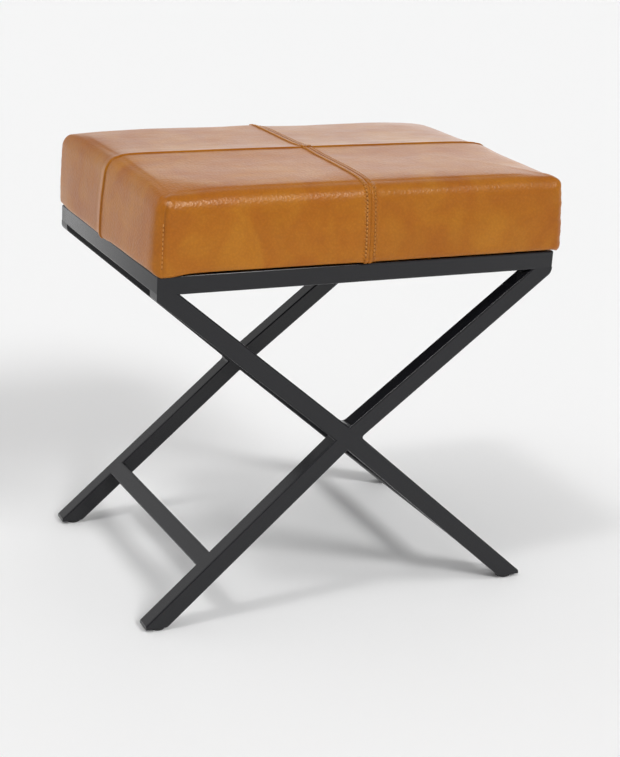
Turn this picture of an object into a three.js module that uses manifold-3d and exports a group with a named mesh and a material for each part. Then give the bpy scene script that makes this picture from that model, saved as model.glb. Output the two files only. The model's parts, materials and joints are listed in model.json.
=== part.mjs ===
// An x frame stool: a welded square-tube frame with a crossed pair of legs at the front and back,
// and a leather-covered seat screwed on top. Millimetres, +Z up, the front towards -Y,
// with the origin on the floor under the middle of the seat.

import * as THREE from 'three';
import { mergeVertices } from 'three/addons/utils/BufferGeometryUtils.js';
import Module from 'manifold-3d';

const wasm = await Module();
wasm.setup();

// Overall frame
const FRAME_WIDTH = 460;
const FRAME_DEPTH = 314;
const FRAME_TOP = 391;
const JOINT_GAP = 0.3;
const CUT_OVERRUN = 30;

// Square tube
const TUBE_SIZE = 20;
const TUBE_WALL = 1.5;
const ARRIS_RADIUS = 2;
const ARRIS_STEPS = 4;

// Crossed legs: both arms of a leg meet at the crossing, where the leg bends slightly
const FRONT_CROSSING_HEIGHT = 196.5;
const FRONT_CROSSING_X = -5;
const BACK_CROSSING_HEIGHT = 190.5;
const BACK_CROSSING_X = -6;
const SHOULDER_DROP = 5.6;
const FOOT_TIP_HEIGHT = 4;
const FOOT_CUT_HEIGHT = 3.5;
const SHOULDER_RADIUS = 8;
const SHOULDER_STEPS = 3;

// Stretchers between the front and back legs, measured along the leg from where it is cut at the foot
const STRETCHER_UP_FRONT_LEG = 87.5;
const STRETCHER_UP_BACK_LEG = 83.5;

// Corner tabs under the seat
const TAB_LEG = 45;
const TAB_BLUNT = 5;
const TAB_THICKNESS = 3;
const SCREW_INSET = 14;

// Seat screws, washers and inserts
const SCREW_RADIUS = 3;
const SCREW_LENGTH = 18;
const SCREW_HEAD_RADIUS = 5.25;
const SCREW_HEAD_HEIGHT = 3.2;
const SCREW_HEAD_EDGE = 1.2;
const SOCKET_RADIUS = 2.3;
const SOCKET_DEPTH = 2;
const HOLE_CLEARANCE = 0.5;
const WASHER_RADIUS = 6.5;
const WASHER_THICKNESS = 1.2;
const INSERT_RADIUS = 4.5;
const INSERT_LENGTH = 9.6;

// Levelling glides: a nylon pad that swivels on the head of a threaded stud
const GLIDE_INSET = 15.5;
const PAD_RADIUS = 8.5;
const PAD_HEIGHT = 3.2;
const PAD_BOTTOM_ROUND = 0.9;
const PAD_TOP_ROUND = 0.5;
const POCKET_DEPTH = 1.7;
const POCKET_CLEARANCE = 0.4;
const STUD_RADIUS = 3;
const STUD_TOP = 13.5;
const STUD_TIP = 0.6;
const STUD_CLEARANCE = 0.1;
const STUD_HEAD_RADIUS = 5;
const STUD_HEAD_HEIGHT = 1.1;
const PLUG_LENGTH = 30;
const PLUG_BORE_SPARE = 1;

// Seat layers, from the rails up
const SEAT_GAP = 0.3;
const DUST_COVER_THICKNESS = 1.4;
const DUST_COVER_SETBACK = 4;
const DUST_COVER_CORNER = 6;
const LEATHER_THICKNESS = 1.5;
const HEM_WIDTH = 26;
const BOARD_THICKNESS = 12;
const BOARD_SETBACK = 5.5;
const BOARD_CORNER = 10;

// Cushion form
const CUSHION_SIDE_OVERHANG = 4.5;
const CUSHION_FRONT_OVERHANG = 4;
const CUSHION_EDGE_HEIGHT = 80;
const CUSHION_CROWN = 7;
const CORNER_DROP = 9;
const CORNER_DROP_POWER = 8;
const CUSHION_CORNER_RADIUS = 15;
const CUSHION_ROLL_RADIUS = 12;
const CUSHION_HEM_RADIUS = 4;
const SIDE_DRAW = 1.6;
const HEM_DRAW_SHARE = 0.4;
const SEAM_DRAW = 1.4;
const SEAM_DIP = 2.4;
const SEAM_SPREAD = 7;
const SEAM_CREST = 5;
const SEAM_SHOULDER = 13;
const WIDE_CELLS = 7;
const DEEP_CELLS = 6;
const CELL_NARROWING = 1.6;
const ROLL_STEPS = 3;
const SIDE_STEPS = 2;

// Sizes and heights worked out from the values above
const HALF_WIDTH = FRAME_WIDTH / 2;
const HALF_DEPTH = FRAME_DEPTH / 2;
const CUSHION_HALF_WIDTH = HALF_WIDTH + CUSHION_SIDE_OVERHANG;
const CUSHION_HALF_DEPTH = HALF_DEPTH + CUSHION_FRONT_OVERHANG;
const GLIDE_X = HALF_WIDTH - GLIDE_INSET;
const RAIL_BOTTOM = FRAME_TOP - TUBE_SIZE;
const DUST_COVER_BOTTOM = FRAME_TOP + SEAT_GAP;
const CUSHION_BOTTOM = DUST_COVER_BOTTOM + DUST_COVER_THICKNESS + SEAT_GAP;
const BOARD_BOTTOM = CUSHION_BOTTOM + LEATHER_THICKNESS + SEAT_GAP;
const FOAM_BOTTOM = BOARD_BOTTOM + BOARD_THICKNESS + SEAT_GAP;
const ROUND_SEGMENTS = 20;

// Finishes
const steel = new THREE.MeshStandardMaterial({ color: 0x2e2f31, roughness: 0.55, metalness: 0.3 });
const zinc = new THREE.MeshStandardMaterial({ color: 0xb4b6b8, roughness: 0.35, metalness: 1 });
const nylon = new THREE.MeshStandardMaterial({ color: 0x1b1b1c, roughness: 0.6, metalness: 0 });
const leather = new THREE.MeshStandardMaterial({ color: 0xb26b2b, roughness: 0.42, metalness: 0 });
const plywood = new THREE.MeshStandardMaterial({ color: 0xc9a878, roughness: 0.8, metalness: 0 });
const foam = new THREE.MeshStandardMaterial({ color: 0xe9e0c4, roughness: 0.95, metalness: 0 });
const lining = new THREE.MeshStandardMaterial({ color: 0x161616, roughness: 0.95, metalness: 0 });

const stool = new THREE.Group();

function add(name, geometry, material) {
  const mesh = new THREE.Mesh(geometry, material);
  mesh.name = name;
  stool.add(mesh);
  return mesh;
}

// Closed mesh to solid, and back
function toSolid(geometry) {
  const bare = new THREE.BufferGeometry();
  bare.setAttribute('position', geometry.getAttribute('position').clone());
  if (geometry.index) bare.setIndex(geometry.index.clone());
  const merged = mergeVertices(bare);
  return new wasm.Manifold(new wasm.Mesh({
    numProp: 3,
    vertProperties: new Float32Array(merged.getAttribute('position').array),
    triVerts: new Uint32Array(merged.index.array),
  }));
}

function toGeometry(solid) {
  const mesh = solid.getMesh();
  const geometry = new THREE.BufferGeometry();
  geometry.setAttribute('position', new THREE.BufferAttribute(new Float32Array(mesh.vertProperties), 3));
  geometry.setIndex(new THREE.BufferAttribute(new Uint32Array(mesh.triVerts), 1));
  geometry.computeVertexNormals();
  return geometry;
}

// A closed outline in the XZ plane, extruded along Y
function prismAcrossDepth(points, yFrom, yTo) {
  const shape = new THREE.Shape(points.map(([x, z]) => new THREE.Vector2(x, z)));
  const geometry = new THREE.ExtrudeGeometry(shape, { depth: yTo - yFrom, bevelEnabled: false });
  geometry.rotateX(Math.PI / 2);
  geometry.translate(0, yTo, 0);
  return geometry;
}

// A closed outline in the XY plane, extruded upwards
function prismUpwards(points, zFrom, zTo) {
  const shape = new THREE.Shape(points.map(([x, y]) => new THREE.Vector2(x, y)));
  const geometry = new THREE.ExtrudeGeometry(shape, { depth: zTo - zFrom, bevelEnabled: false });
  geometry.translate(0, 0, zFrom);
  return geometry;
}

function squareOutline(size, radius) {
  const half = size / 2;
  const flat = half - radius;
  const shape = new THREE.Shape();
  shape.moveTo(-flat, -half);
  shape.lineTo(flat, -half);
  if (radius > 0) shape.absarc(flat, -flat, radius, -Math.PI / 2, 0, false);
  shape.lineTo(half, flat);
  if (radius > 0) shape.absarc(flat, flat, radius, 0, Math.PI / 2, false);
  shape.lineTo(-flat, half);
  if (radius > 0) shape.absarc(-flat, flat, radius, Math.PI / 2, Math.PI, false);
  shape.lineTo(-half, -flat);
  if (radius > 0) shape.absarc(-flat, -flat, radius, Math.PI, 1.5 * Math.PI, false);
  return shape;
}

// A straight bar of square section from one point to another; its sides stay square to sideways
function bar(from, to, sideways, size, radius) {
  const along = new THREE.Vector3().subVectors(to, from);
  const length = along.length();
  along.normalize();
  const across = new THREE.Vector3().crossVectors(sideways, along);
  const geometry = new THREE.ExtrudeGeometry(squareOutline(size, radius), {
    depth: length,
    bevelEnabled: false,
    curveSegments: ARRIS_STEPS,
  });
  geometry.applyMatrix4(new THREE.Matrix4().makeBasis(across, sideways, along).setPosition(from));
  return toSolid(geometry);
}

const INNER_SIZE = TUBE_SIZE - 2 * TUBE_WALL;
const DEPTH_AXIS = new THREE.Vector3(0, 1, 0);
const UP_AXIS = new THREE.Vector3(0, 0, 1);

function tubeSkin(from, to, sideways) {
  return bar(from, to, sideways, TUBE_SIZE, ARRIS_RADIUS);
}

function tubeCore(from, to, sideways) {
  return bar(from, to, sideways, INNER_SIZE, 0);
}

// Top rails: four tubes mitred at the corners
const RAIL_MIDDLE_HEIGHT = FRAME_TOP - TUBE_SIZE / 2;

function rail(name, from, to, keep) {
  const along = new THREE.Vector3().subVectors(to, from).normalize().multiplyScalar(CUT_OVERRUN);
  const start = from.clone().sub(along);
  const end = to.clone().add(along);
  const mitre = toSolid(prismUpwards(keep, RAIL_BOTTOM - CUT_OVERRUN, FRAME_TOP + CUT_OVERRUN));
  const skin = tubeSkin(start, end, UP_AXIS).intersect(mitre);
  add(name, toGeometry(skin.subtract(tubeCore(start, end, UP_AXIS))), steel);
}

function addRails() {
  const half = TUBE_SIZE / 2;
  const mitreShift = JOINT_GAP / Math.SQRT2;
  for (const [name, side] of [['front_rail', -1], ['back_rail', 1]]) {
    const y = side * (HALF_DEPTH - half);
    const outer = side * (HALF_DEPTH + CUT_OVERRUN);
    const inner = side * (HALF_DEPTH - TUBE_SIZE - CUT_OVERRUN);
    const wide = HALF_WIDTH + CUT_OVERRUN - mitreShift;
    const narrow = HALF_WIDTH - TUBE_SIZE - CUT_OVERRUN - mitreShift;
    rail(name, new THREE.Vector3(-HALF_WIDTH, y, RAIL_MIDDLE_HEIGHT),
      new THREE.Vector3(HALF_WIDTH, y, RAIL_MIDDLE_HEIGHT),
      [[-wide, outer], [wide, outer], [narrow, inner], [-narrow, inner]]);
  }
  for (const [name, side] of [['left_rail', -1], ['right_rail', 1]]) {
    const x = side * (HALF_WIDTH - half);
    const outer = side * (HALF_WIDTH + CUT_OVERRUN);
    const inner = side * (HALF_WIDTH - TUBE_SIZE - CUT_OVERRUN);
    const deep = HALF_DEPTH + CUT_OVERRUN;
    const shallow = HALF_DEPTH - TUBE_SIZE - CUT_OVERRUN;
    rail(name, new THREE.Vector3(x, -HALF_DEPTH, RAIL_MIDDLE_HEIGHT),
      new THREE.Vector3(x, HALF_DEPTH, RAIL_MIDDLE_HEIGHT),
      [[outer, -deep], [outer, deep], [inner, shallow], [inner, -shallow]]);
  }
}

// Crossed legs. An upper arm's lower face ends at its shoulder under the rail, and a lower arm's upper
// face ends at its foot's tip, both on the frame's side.
function crossing(crossingX, crossingHeight) {
  const centre = new THREE.Vector2(crossingX, crossingHeight);
  const upper = { corner: RAIL_BOTTOM - SHOULDER_DROP, reach: RAIL_BOTTOM, turn: 1 };
  const lower = { corner: FOOT_CUT_HEIGHT + FOOT_TIP_HEIGHT, reach: FOOT_CUT_HEIGHT, turn: -1 };
  const arms = [
    { name: 'upper_left', side: -1, level: upper },
    { name: 'lower_left', side: -1, level: lower },
    { name: 'lower_right', side: 1, level: lower },
    { name: 'upper_right', side: 1, level: upper },
  ];
  for (const arm of arms) {
    const across = HALF_WIDTH - arm.side * crossingX;
    const rise = arm.level.corner - crossingHeight;
    const toAxis = Math.asin(TUBE_SIZE / 2 / Math.hypot(across, rise));
    const lean = Math.atan2(rise, across) + arm.level.turn * toAxis;
    arm.centre = centre;
    arm.direction = new THREE.Vector2(arm.side * Math.cos(lean), Math.sin(lean));
    const length = (arm.level.reach - crossingHeight) / Math.sin(lean);
    arm.end = centre.clone().addScaledVector(arm.direction, length);
  }
  arms.forEach((arm, index) => {
    arm.before = arms[(index + 3) % 4].direction;
    arm.after = arms[(index + 1) % 4].direction;
  });
  return arms;
}

// The wedge between the two mitre lines at the crossing, a little back from its point
function mitreWedge(arm) {
  const first = arm.direction.clone().add(arm.before).normalize();
  const second = arm.direction.clone().add(arm.after).normalize();
  const narrowest = Math.min(Math.abs(arm.direction.cross(first)), Math.abs(arm.direction.cross(second)));
  const point = arm.centre.clone().addScaledVector(arm.direction, JOINT_GAP / 2 / narrowest);
  const reach = FRAME_WIDTH;
  const corners = [
    point,
    point.clone().addScaledVector(first, reach),
    point.clone().addScaledVector(arm.direction, 2 * reach),
    point.clone().addScaledVector(second, reach),
  ];
  return corners.map((corner) => [corner.x, corner.y]);
}

// What the frame's side and the rail or the floor leave of an arm, with its shoulder rounded
function armRegion(arm, setback) {
  const side = Math.sign(arm.end.x);
  const outer = side * (HALF_WIDTH - setback);
  const middle = -side * CUT_OVERRUN;
  if (arm.end.y < arm.centre.y) {
    const floor = FOOT_CUT_HEIGHT;
    const roof = arm.centre.y + CUT_OVERRUN;
    return [[middle, floor], [outer, floor], [outer, roof], [middle, roof]];
  }
  const roof = RAIL_BOTTOM - JOINT_GAP;
  const floor = arm.centre.y - CUT_OVERRUN;
  const corner = arm.level.corner;
  const turn = Math.acos(arm.direction.y);
  const tangent = SHOULDER_RADIUS * Math.tan(turn / 2);
  const centreX = outer - side * SHOULDER_RADIUS;
  const centreZ = corner + tangent;
  const points = [[middle, roof], [outer, roof]];
  for (let step = 0; step <= SHOULDER_STEPS; step += 1) {
    const angle = (turn * step) / SHOULDER_STEPS;
    const radius = SHOULDER_RADIUS;
    points.push([centreX + side * radius * Math.cos(angle), centreZ - radius * Math.sin(angle)]);
  }
  points.push([outer - side * TUBE_SIZE, floor], [middle, floor]);
  return points;
}

function armAxisPoint(arm, distance, y) {
  const point = arm.centre.clone().addScaledVector(arm.direction, distance);
  return new THREE.Vector3(point.x, y, point.y);
}

function addArm(prefix, arm, yMiddle) {
  const length = arm.centre.distanceTo(arm.end);
  const start = armAxisPoint(arm, -CUT_OVERRUN, yMiddle);
  const end = armAxisPoint(arm, length + CUT_OVERRUN, yMiddle);
  const yFrom = yMiddle - TUBE_SIZE;
  const yTo = yMiddle + TUBE_SIZE;
  const wedge = toSolid(prismAcrossDepth(mitreWedge(arm), yFrom, yTo));
  const region = toSolid(prismAcrossDepth(armRegion(arm, 0), yFrom, yTo));
  const skin = tubeSkin(start, end, DEPTH_AXIS).intersect(wedge).intersect(region);
  const side = Math.sign(arm.end.x);
  const wallFace = side * (HALF_WIDTH - TUBE_WALL);
  const hollow = [
    [-side * CUT_OVERRUN, -CUT_OVERRUN],
    [wallFace, -CUT_OVERRUN],
    [wallFace, FRAME_TOP],
    [-side * CUT_OVERRUN, FRAME_TOP],
  ];
  const core = tubeCore(start, end, DEPTH_AXIS).intersect(toSolid(prismAcrossDepth(hollow, yFrom, yTo)));
  add(`${prefix}_${arm.name}_leg`, toGeometry(skin.subtract(core)), steel);
}

const FRONT_PLANE = -(HALF_DEPTH - TUBE_SIZE / 2);
const BACK_PLANE = HALF_DEPTH - TUBE_SIZE / 2;
const frontArms = crossing(FRONT_CROSSING_X, FRONT_CROSSING_HEIGHT);
const backArms = crossing(BACK_CROSSING_X, BACK_CROSSING_HEIGHT);

function addLegs() {
  for (const arm of frontArms) addArm('front', arm, FRONT_PLANE);
  for (const arm of backArms) addArm('back', arm, BACK_PLANE);
}

// Stretchers: tubes between the front and back lower legs, turned to lie flush with them
function addStretchers() {
  const reach = HALF_DEPTH - TUBE_SIZE - JOINT_GAP;
  const block = [[-HALF_WIDTH, 0], [HALF_WIDTH, 0], [HALF_WIDTH, RAIL_BOTTOM], [-HALF_WIDTH, RAIL_BOTTOM]];
  const between = toSolid(prismAcrossDepth(block, -reach, reach));
  for (const side of ['left', 'right']) {
    const front = frontArms.find((arm) => arm.name === `lower_${side}`);
    const back = backArms.find((arm) => arm.name === `lower_${side}`);
    const frontEnd = pointUpLeg(front, STRETCHER_UP_FRONT_LEG, FRONT_PLANE);
    const backEnd = pointUpLeg(back, STRETCHER_UP_BACK_LEG, BACK_PLANE);
    const lean = front.direction.clone().add(back.direction).normalize();
    const along = backEnd.clone().sub(frontEnd);
    const sideways = new THREE.Vector3(-lean.y, 0, lean.x).cross(along).normalize();
    const tube = tubeSkin(frontEnd, backEnd, sideways).subtract(tubeCore(frontEnd, backEnd, sideways));
    add(`${side}_stretcher`, toGeometry(tube.intersect(between)), steel);
  }
}

function pointUpLeg(arm, distance, y) {
  return armAxisPoint(arm, arm.centre.distanceTo(arm.end) - distance, y);
}

// Round pieces
function ring(outer, inner, bottom, top) {
  const profile = [[inner, bottom], [outer, bottom], [outer, top], [inner, top], [inner, bottom]];
  return turned(profile);
}

function turned(profile) {
  const points = profile.map(([radius, height]) => new THREE.Vector2(radius, height));
  const geometry = new THREE.LatheGeometry(points, ROUND_SEGMENTS);
  geometry.rotateX(Math.PI / 2);
  return geometry;
}

function rod(radius, bottom, top) {
  return turned([[0, bottom], [radius, bottom], [radius, top], [0, top]]);
}

const CORNERS = [
  ['front_left', -1, -1],
  ['front_right', 1, -1],
  ['back_left', -1, 1],
  ['back_right', 1, 1],
];
const SCREW_X = HALF_WIDTH - TUBE_SIZE - SCREW_INSET;
const SCREW_Y = HALF_DEPTH - TUBE_SIZE - SCREW_INSET;

function screwHole(shape, x, y, radius) {
  shape.holes.push(new THREE.Path().absarc(x, y, radius, 0, 2 * Math.PI, true));
}

function plate(shape, bottom, thickness) {
  const geometry = new THREE.ExtrudeGeometry(shape, {
    depth: thickness,
    bevelEnabled: false,
    curveSegments: ROUND_SEGMENTS / 2,
  });
  geometry.translate(0, 0, bottom);
  return geometry;
}

// Corner tabs, welded inside the corners of the rails and flush with their tops
function addTabs() {
  for (const [corner, sideX, sideY] of CORNERS) {
    const x0 = HALF_WIDTH - TUBE_SIZE - JOINT_GAP;
    const y0 = HALF_DEPTH - TUBE_SIZE - JOINT_GAP;
    const outline = [
      [x0, y0],
      [x0 - TAB_LEG, y0],
      [x0 - TAB_LEG, y0 - TAB_BLUNT],
      [x0 - TAB_BLUNT, y0 - TAB_LEG],
      [x0, y0 - TAB_LEG],
    ];
    if (sideX !== sideY) outline.reverse();
    const shape = new THREE.Shape(outline.map(([x, y]) => new THREE.Vector2(sideX * x, sideY * y)));
    screwHole(shape, sideX * SCREW_X, sideY * SCREW_Y, SCREW_RADIUS + HOLE_CLEARANCE);
    add(`${corner}_tab`, plate(shape, FRAME_TOP - TAB_THICKNESS, TAB_THICKNESS), steel);
  }
}

// Seat screws come up through a washer and the tab into an insert in the board
function screwGeometry(headTop) {
  const headBottom = headTop - SCREW_HEAD_HEIGHT;
  const body = turned([
    [0, headBottom],
    [SCREW_HEAD_RADIUS - SCREW_HEAD_EDGE, headBottom],
    [SCREW_HEAD_RADIUS, headBottom + SCREW_HEAD_EDGE],
    [SCREW_HEAD_RADIUS, headTop],
    [SCREW_RADIUS, headTop],
    [SCREW_RADIUS, headTop + SCREW_LENGTH],
    [0, headTop + SCREW_LENGTH],
  ]);
  const socket = new THREE.CylinderGeometry(SOCKET_RADIUS, SOCKET_RADIUS, 2 * SOCKET_DEPTH, 6);
  socket.rotateX(Math.PI / 2);
  socket.translate(0, 0, headBottom);
  return toGeometry(toSolid(body).subtract(toSolid(socket)));
}

function addFixings() {
  const washerTop = FRAME_TOP - TAB_THICKNESS - JOINT_GAP;
  const washerBottom = washerTop - WASHER_THICKNESS;
  const insertTop = BOARD_BOTTOM + BOARD_THICKNESS - JOINT_GAP;
  for (const [corner, sideX, sideY] of CORNERS) {
    const pieces = {
      seat_screw: screwGeometry(washerBottom - JOINT_GAP),
      seat_washer: ring(WASHER_RADIUS, SCREW_RADIUS + HOLE_CLEARANCE, washerBottom, washerTop),
      board_insert: ring(INSERT_RADIUS, SCREW_RADIUS + JOINT_GAP, insertTop - INSERT_LENGTH, insertTop),
    };
    for (const [name, geometry] of Object.entries(pieces)) {
      geometry.translate(sideX * SCREW_X, sideY * SCREW_Y, 0);
      add(`${corner}_${name}`, geometry, zinc);
    }
  }
}

// Feet: a nylon plug fills each leg's end and takes the stud of the levelling glide
function addFeet() {
  const holeRadius = STUD_RADIUS + STUD_CLEARANCE;
  const pocketFloor = PAD_HEIGHT - POCKET_DEPTH;
  const pocketRadius = STUD_HEAD_RADIUS + POCKET_CLEARANCE;
  const headBottom = pocketFloor + JOINT_GAP;
  const headTop = headBottom + STUD_HEAD_HEIGHT;
  for (const [corner, sideX, sideY] of CORNERS) {
    const arms = sideY < 0 ? frontArms : backArms;
    const y = sideY * BACK_PLANE;
    const arm = arms.find((each) => each.name === `lower_${corner.split('_')[1]}`);
    const length = arm.centre.distanceTo(arm.end);
    const start = armAxisPoint(arm, length - PLUG_LENGTH, y);
    const end = armAxisPoint(arm, length + CUT_OVERRUN, y);
    const outer = sideX * (HALF_WIDTH - TUBE_WALL - JOINT_GAP);
    const region = [[0, FOOT_CUT_HEIGHT], [outer, FOOT_CUT_HEIGHT], [outer, FRAME_TOP], [0, FRAME_TOP]];
    const body = bar(start, end, DEPTH_AXIS, INNER_SIZE - 2 * JOINT_GAP, 0)
      .intersect(toSolid(prismAcrossDepth(region, y - TUBE_SIZE, y + TUBE_SIZE)));
    const bore = rod(holeRadius, -CUT_OVERRUN, STUD_TOP + PLUG_BORE_SPARE);
    bore.translate(sideX * GLIDE_X, y, 0);
    add(`${corner}_leg_plug`, toGeometry(body.subtract(toSolid(bore))), nylon);

    const pad = turned([
      [0, 0],
      [PAD_RADIUS - PAD_BOTTOM_ROUND, 0],
      [PAD_RADIUS, PAD_BOTTOM_ROUND],
      [PAD_RADIUS, PAD_HEIGHT - PAD_TOP_ROUND],
      [PAD_RADIUS - PAD_TOP_ROUND, PAD_HEIGHT],
      [pocketRadius, PAD_HEIGHT],
      [pocketRadius, pocketFloor],
      [0, pocketFloor],
    ]);
    pad.translate(sideX * GLIDE_X, y, 0);
    add(`${corner}_glide_pad`, pad, nylon);

    const stud = turned([
      [0, headBottom],
      [STUD_HEAD_RADIUS, headBottom],
      [STUD_HEAD_RADIUS, headTop],
      [STUD_RADIUS, headTop],
      [STUD_RADIUS, STUD_TOP - STUD_TIP],
      [STUD_RADIUS - STUD_TIP, STUD_TOP],
      [0, STUD_TOP],
    ]);
    stud.translate(sideX * GLIDE_X, y, 0);
    add(`${corner}_glide_stud`, stud, zinc);
  }
}

// Board and dust cover
function roundedRectangle(halfX, halfY, radius) {
  const shape = new THREE.Shape();
  shape.moveTo(radius - halfX, -halfY);
  shape.absarc(halfX - radius, radius - halfY, radius, -Math.PI / 2, 0, false);
  shape.absarc(halfX - radius, halfY - radius, radius, 0, Math.PI / 2, false);
  shape.absarc(radius - halfX, halfY - radius, radius, Math.PI / 2, Math.PI, false);
  shape.absarc(radius - halfX, radius - halfY, radius, Math.PI, 1.5 * Math.PI, false);
  return shape;
}

function addBoard() {
  const halfX = CUSHION_HALF_WIDTH - BOARD_SETBACK;
  const halfY = CUSHION_HALF_DEPTH - BOARD_SETBACK;
  const board = roundedRectangle(halfX, halfY, BOARD_CORNER);
  const coverX = HALF_WIDTH - DUST_COVER_SETBACK;
  const coverY = HALF_DEPTH - DUST_COVER_SETBACK;
  const cover = roundedRectangle(coverX, coverY, DUST_COVER_CORNER);
  for (const [, sideX, sideY] of CORNERS) {
    screwHole(board, sideX * SCREW_X, sideY * SCREW_Y, INSERT_RADIUS + JOINT_GAP);
    screwHole(cover, sideX * SCREW_X, sideY * SCREW_Y, SCREW_RADIUS + HOLE_CLEARANCE);
  }
  add('seat_board', plate(board, BOARD_BOTTOM, BOARD_THICKNESS), plywood);
  add('dust_cover', plate(cover, DUST_COVER_BOTTOM, DUST_COVER_THICKNESS), lining);
}

// Cushion form, worked out for one quarter: points on a skin that lies inset under the leather's face
function cushionQuarter(inset, gap) {
  const halfX = CUSHION_HALF_WIDTH - inset;
  const halfY = CUSHION_HALF_DEPTH - inset;
  const roll = CUSHION_ROLL_RADIUS - inset;
  const corner = CUSHION_CORNER_RADIUS - inset;
  const edge = CUSHION_BOTTOM + CUSHION_EDGE_HEIGHT - inset;
  const seamFade = (distance) => Math.exp(-((distance / SEAM_SPREAD) ** 2));

  const shares = (half, cells) => {
    const seam = [gap, SEAM_CREST, SEAM_SHOULDER];
    const last = half - corner;
    const steps = Array.from({ length: cells }, (_, i) => {
      const left = (1 - (i + 1) / cells) ** CELL_NARROWING;
      return last - (last - SEAM_SHOULDER) * left;
    });
    return [...seam, ...steps, half];
  };
  const columns = shares(halfX, WIDE_CELLS);
  const lines = shares(halfY, DEEP_CELLS);

  // The plan outline at a distance inwards from the sides, drawn in between the corners and at the seams
  const draw = (distance, half) => SIDE_DRAW * (1 - (distance / half) ** 2) + SEAM_DRAW * seamFade(distance);
  const outline = (index, inwards, drawShare) => {
    const arc = Math.max(corner - inwards, 0);
    const reach = Math.max(corner, inwards);
    if (index === columns.length - 1) {
      return [halfX - reach + Math.SQRT1_2 * arc, halfY - reach + Math.SQRT1_2 * arc];
    }
    if (index < columns.length) {
      const x = columns[index];
      const drawn = drawShare * draw(x, halfX);
      return [(x * (halfX - reach)) / (halfX - corner), halfY - inwards - drawn];
    }
    const y = lines[lines.length - 1 - (index - columns.length + 1)];
    const drawn = drawShare * draw(y, halfY);
    return [halfX - inwards - drawn, (y * (halfY - reach)) / (halfY - corner)];
  };

  const topX = halfX - roll;
  const topY = halfY - roll;
  const height = (x, y) => {
    const shareX = Math.min(x / topX, 1);
    const shareY = Math.min(y / topY, 1);
    const crown = CUSHION_CROWN * (1 - shareX ** 2) * (1 - shareY ** 2);
    const drop = CORNER_DROP * (shareX * shareY) ** CORNER_DROP_POWER;
    return edge + crown - drop - SEAM_DIP * Math.max(seamFade(x), seamFade(y));
  };

  // The top's rim, then the top's grid drawn from it
  const rimCount = columns.length + lines.length - 1;
  const rim = Array.from({ length: rimCount }, (_, index) => outline(index, roll, 1));
  const cornerIndex = columns.length - 1;
  const top = columns.map((_, i) => lines.map((__, j) => {
    const up = rim[i];
    const right = rim[rimCount - 1 - j];
    const shareX = i / cornerIndex;
    const shareY = j / (lines.length - 1);
    const x = shareX === 1 ? right[0] : up[0] + (right[0] - rim[rimCount - 1][0]) * shareX ** 3;
    const y = shareY === 1 ? up[1] : right[1] + (up[1] - rim[0][1]) * shareY ** 3;
    return new THREE.Vector3(x, y, height(x, y));
  }));
  const rimHeights = rim.map((_, index) => {
    const across = index <= cornerIndex;
    return across ? top[index][lines.length - 1].z : top[cornerIndex][rimCount - 1 - index].z;
  });

  const rows = [];
  const addRow = (inwards, drawShareAt, heightAt) => {
    rows.push(rim.map((_, index) => {
      const [x, y] = outline(index, inwards, drawShareAt(index));
      return new THREE.Vector3(x, y, heightAt(index));
    }));
  };
  // A row on the side, at a share of the way down from the roll to the hem
  const addSideRow = (shareAt) => {
    const foot = CUSHION_BOTTOM + CUSHION_HEM_RADIUS;
    const sideTop = (index) => rimHeights[index] - roll;
    addRow(0, (index) => 1 + (HEM_DRAW_SHARE - 1) * shareAt(index, sideTop(index), foot),
      (index) => sideTop(index) + (foot - sideTop(index)) * shareAt(index, sideTop(index), foot));
  };
  for (let step = 1; step <= ROLL_STEPS; step += 1) {
    const angle = (Math.PI / 2) * (step / ROLL_STEPS);
    const inwards = roll * (1 - Math.sin(angle));
    const fall = roll * (1 - Math.cos(angle));
    addRow(inwards, () => 1, (index) => rimHeights[index] - fall);
  }
  return { top, rows, addRow, addSideRow };
}

function skinOfQuarter(inset, gap) {
  const floor = CUSHION_BOTTOM + inset;
  const quarter = cushionQuarter(inset, gap);
  for (let step = 1; step <= SIDE_STEPS; step += 1) quarter.addSideRow(() => step / SIDE_STEPS);
  quarter.addRow(CUSHION_HEM_RADIUS - inset, () => HEM_DRAW_SHARE, () => floor);
  quarter.addRow(HEM_WIDTH - inset, () => 0, () => floor);
  return quarter;
}

// Quads gathered as triangles, with the quarter's signs applied
function meshBuilder(signX, signY) {
  const positions = [];
  const flip = signX * signY < 0;
  const place = (point) => positions.push(signX * point.x, signY * point.y, point.z);
  const triangle = (a, b, c) => (flip ? [a, c, b] : [a, b, c]).forEach(place);
  return {
    quad(a, b, c, d) {
      triangle(a, b, c);
      triangle(a, c, d);
    },
    triangle,
    positions,
  };
}

function closedGeometry(positions) {
  const geometry = new THREE.BufferGeometry();
  geometry.setAttribute('position', new THREE.Float32BufferAttribute(positions, 3));
  const merged = mergeVertices(geometry);
  merged.computeVertexNormals();
  return merged;
}

function skinQuads(builder, quarter, outward) {
  const put = (a, b, c, d) => (outward ? builder.quad(a, b, c, d) : builder.quad(a, d, c, b));
  const { top, rows } = quarter;
  for (let i = 0; i + 1 < top.length; i += 1) {
    for (let j = 0; j + 1 < top[i].length; j += 1) {
      put(top[i][j], top[i + 1][j], top[i + 1][j + 1], top[i][j + 1]);
    }
  }
  const all = [rimOf(top), ...rows];
  for (let k = 0; k + 1 < all.length; k += 1) {
    for (let p = 0; p + 1 < all[k].length; p += 1) {
      put(all[k][p], all[k][p + 1], all[k + 1][p + 1], all[k + 1][p]);
    }
  }
  return all;
}

function rimOf(top) {
  const last = top.length - 1;
  const across = top.map((column) => column[column.length - 1]);
  const down = top[last].slice(0, -1).reverse();
  return [...across, ...down];
}

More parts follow.
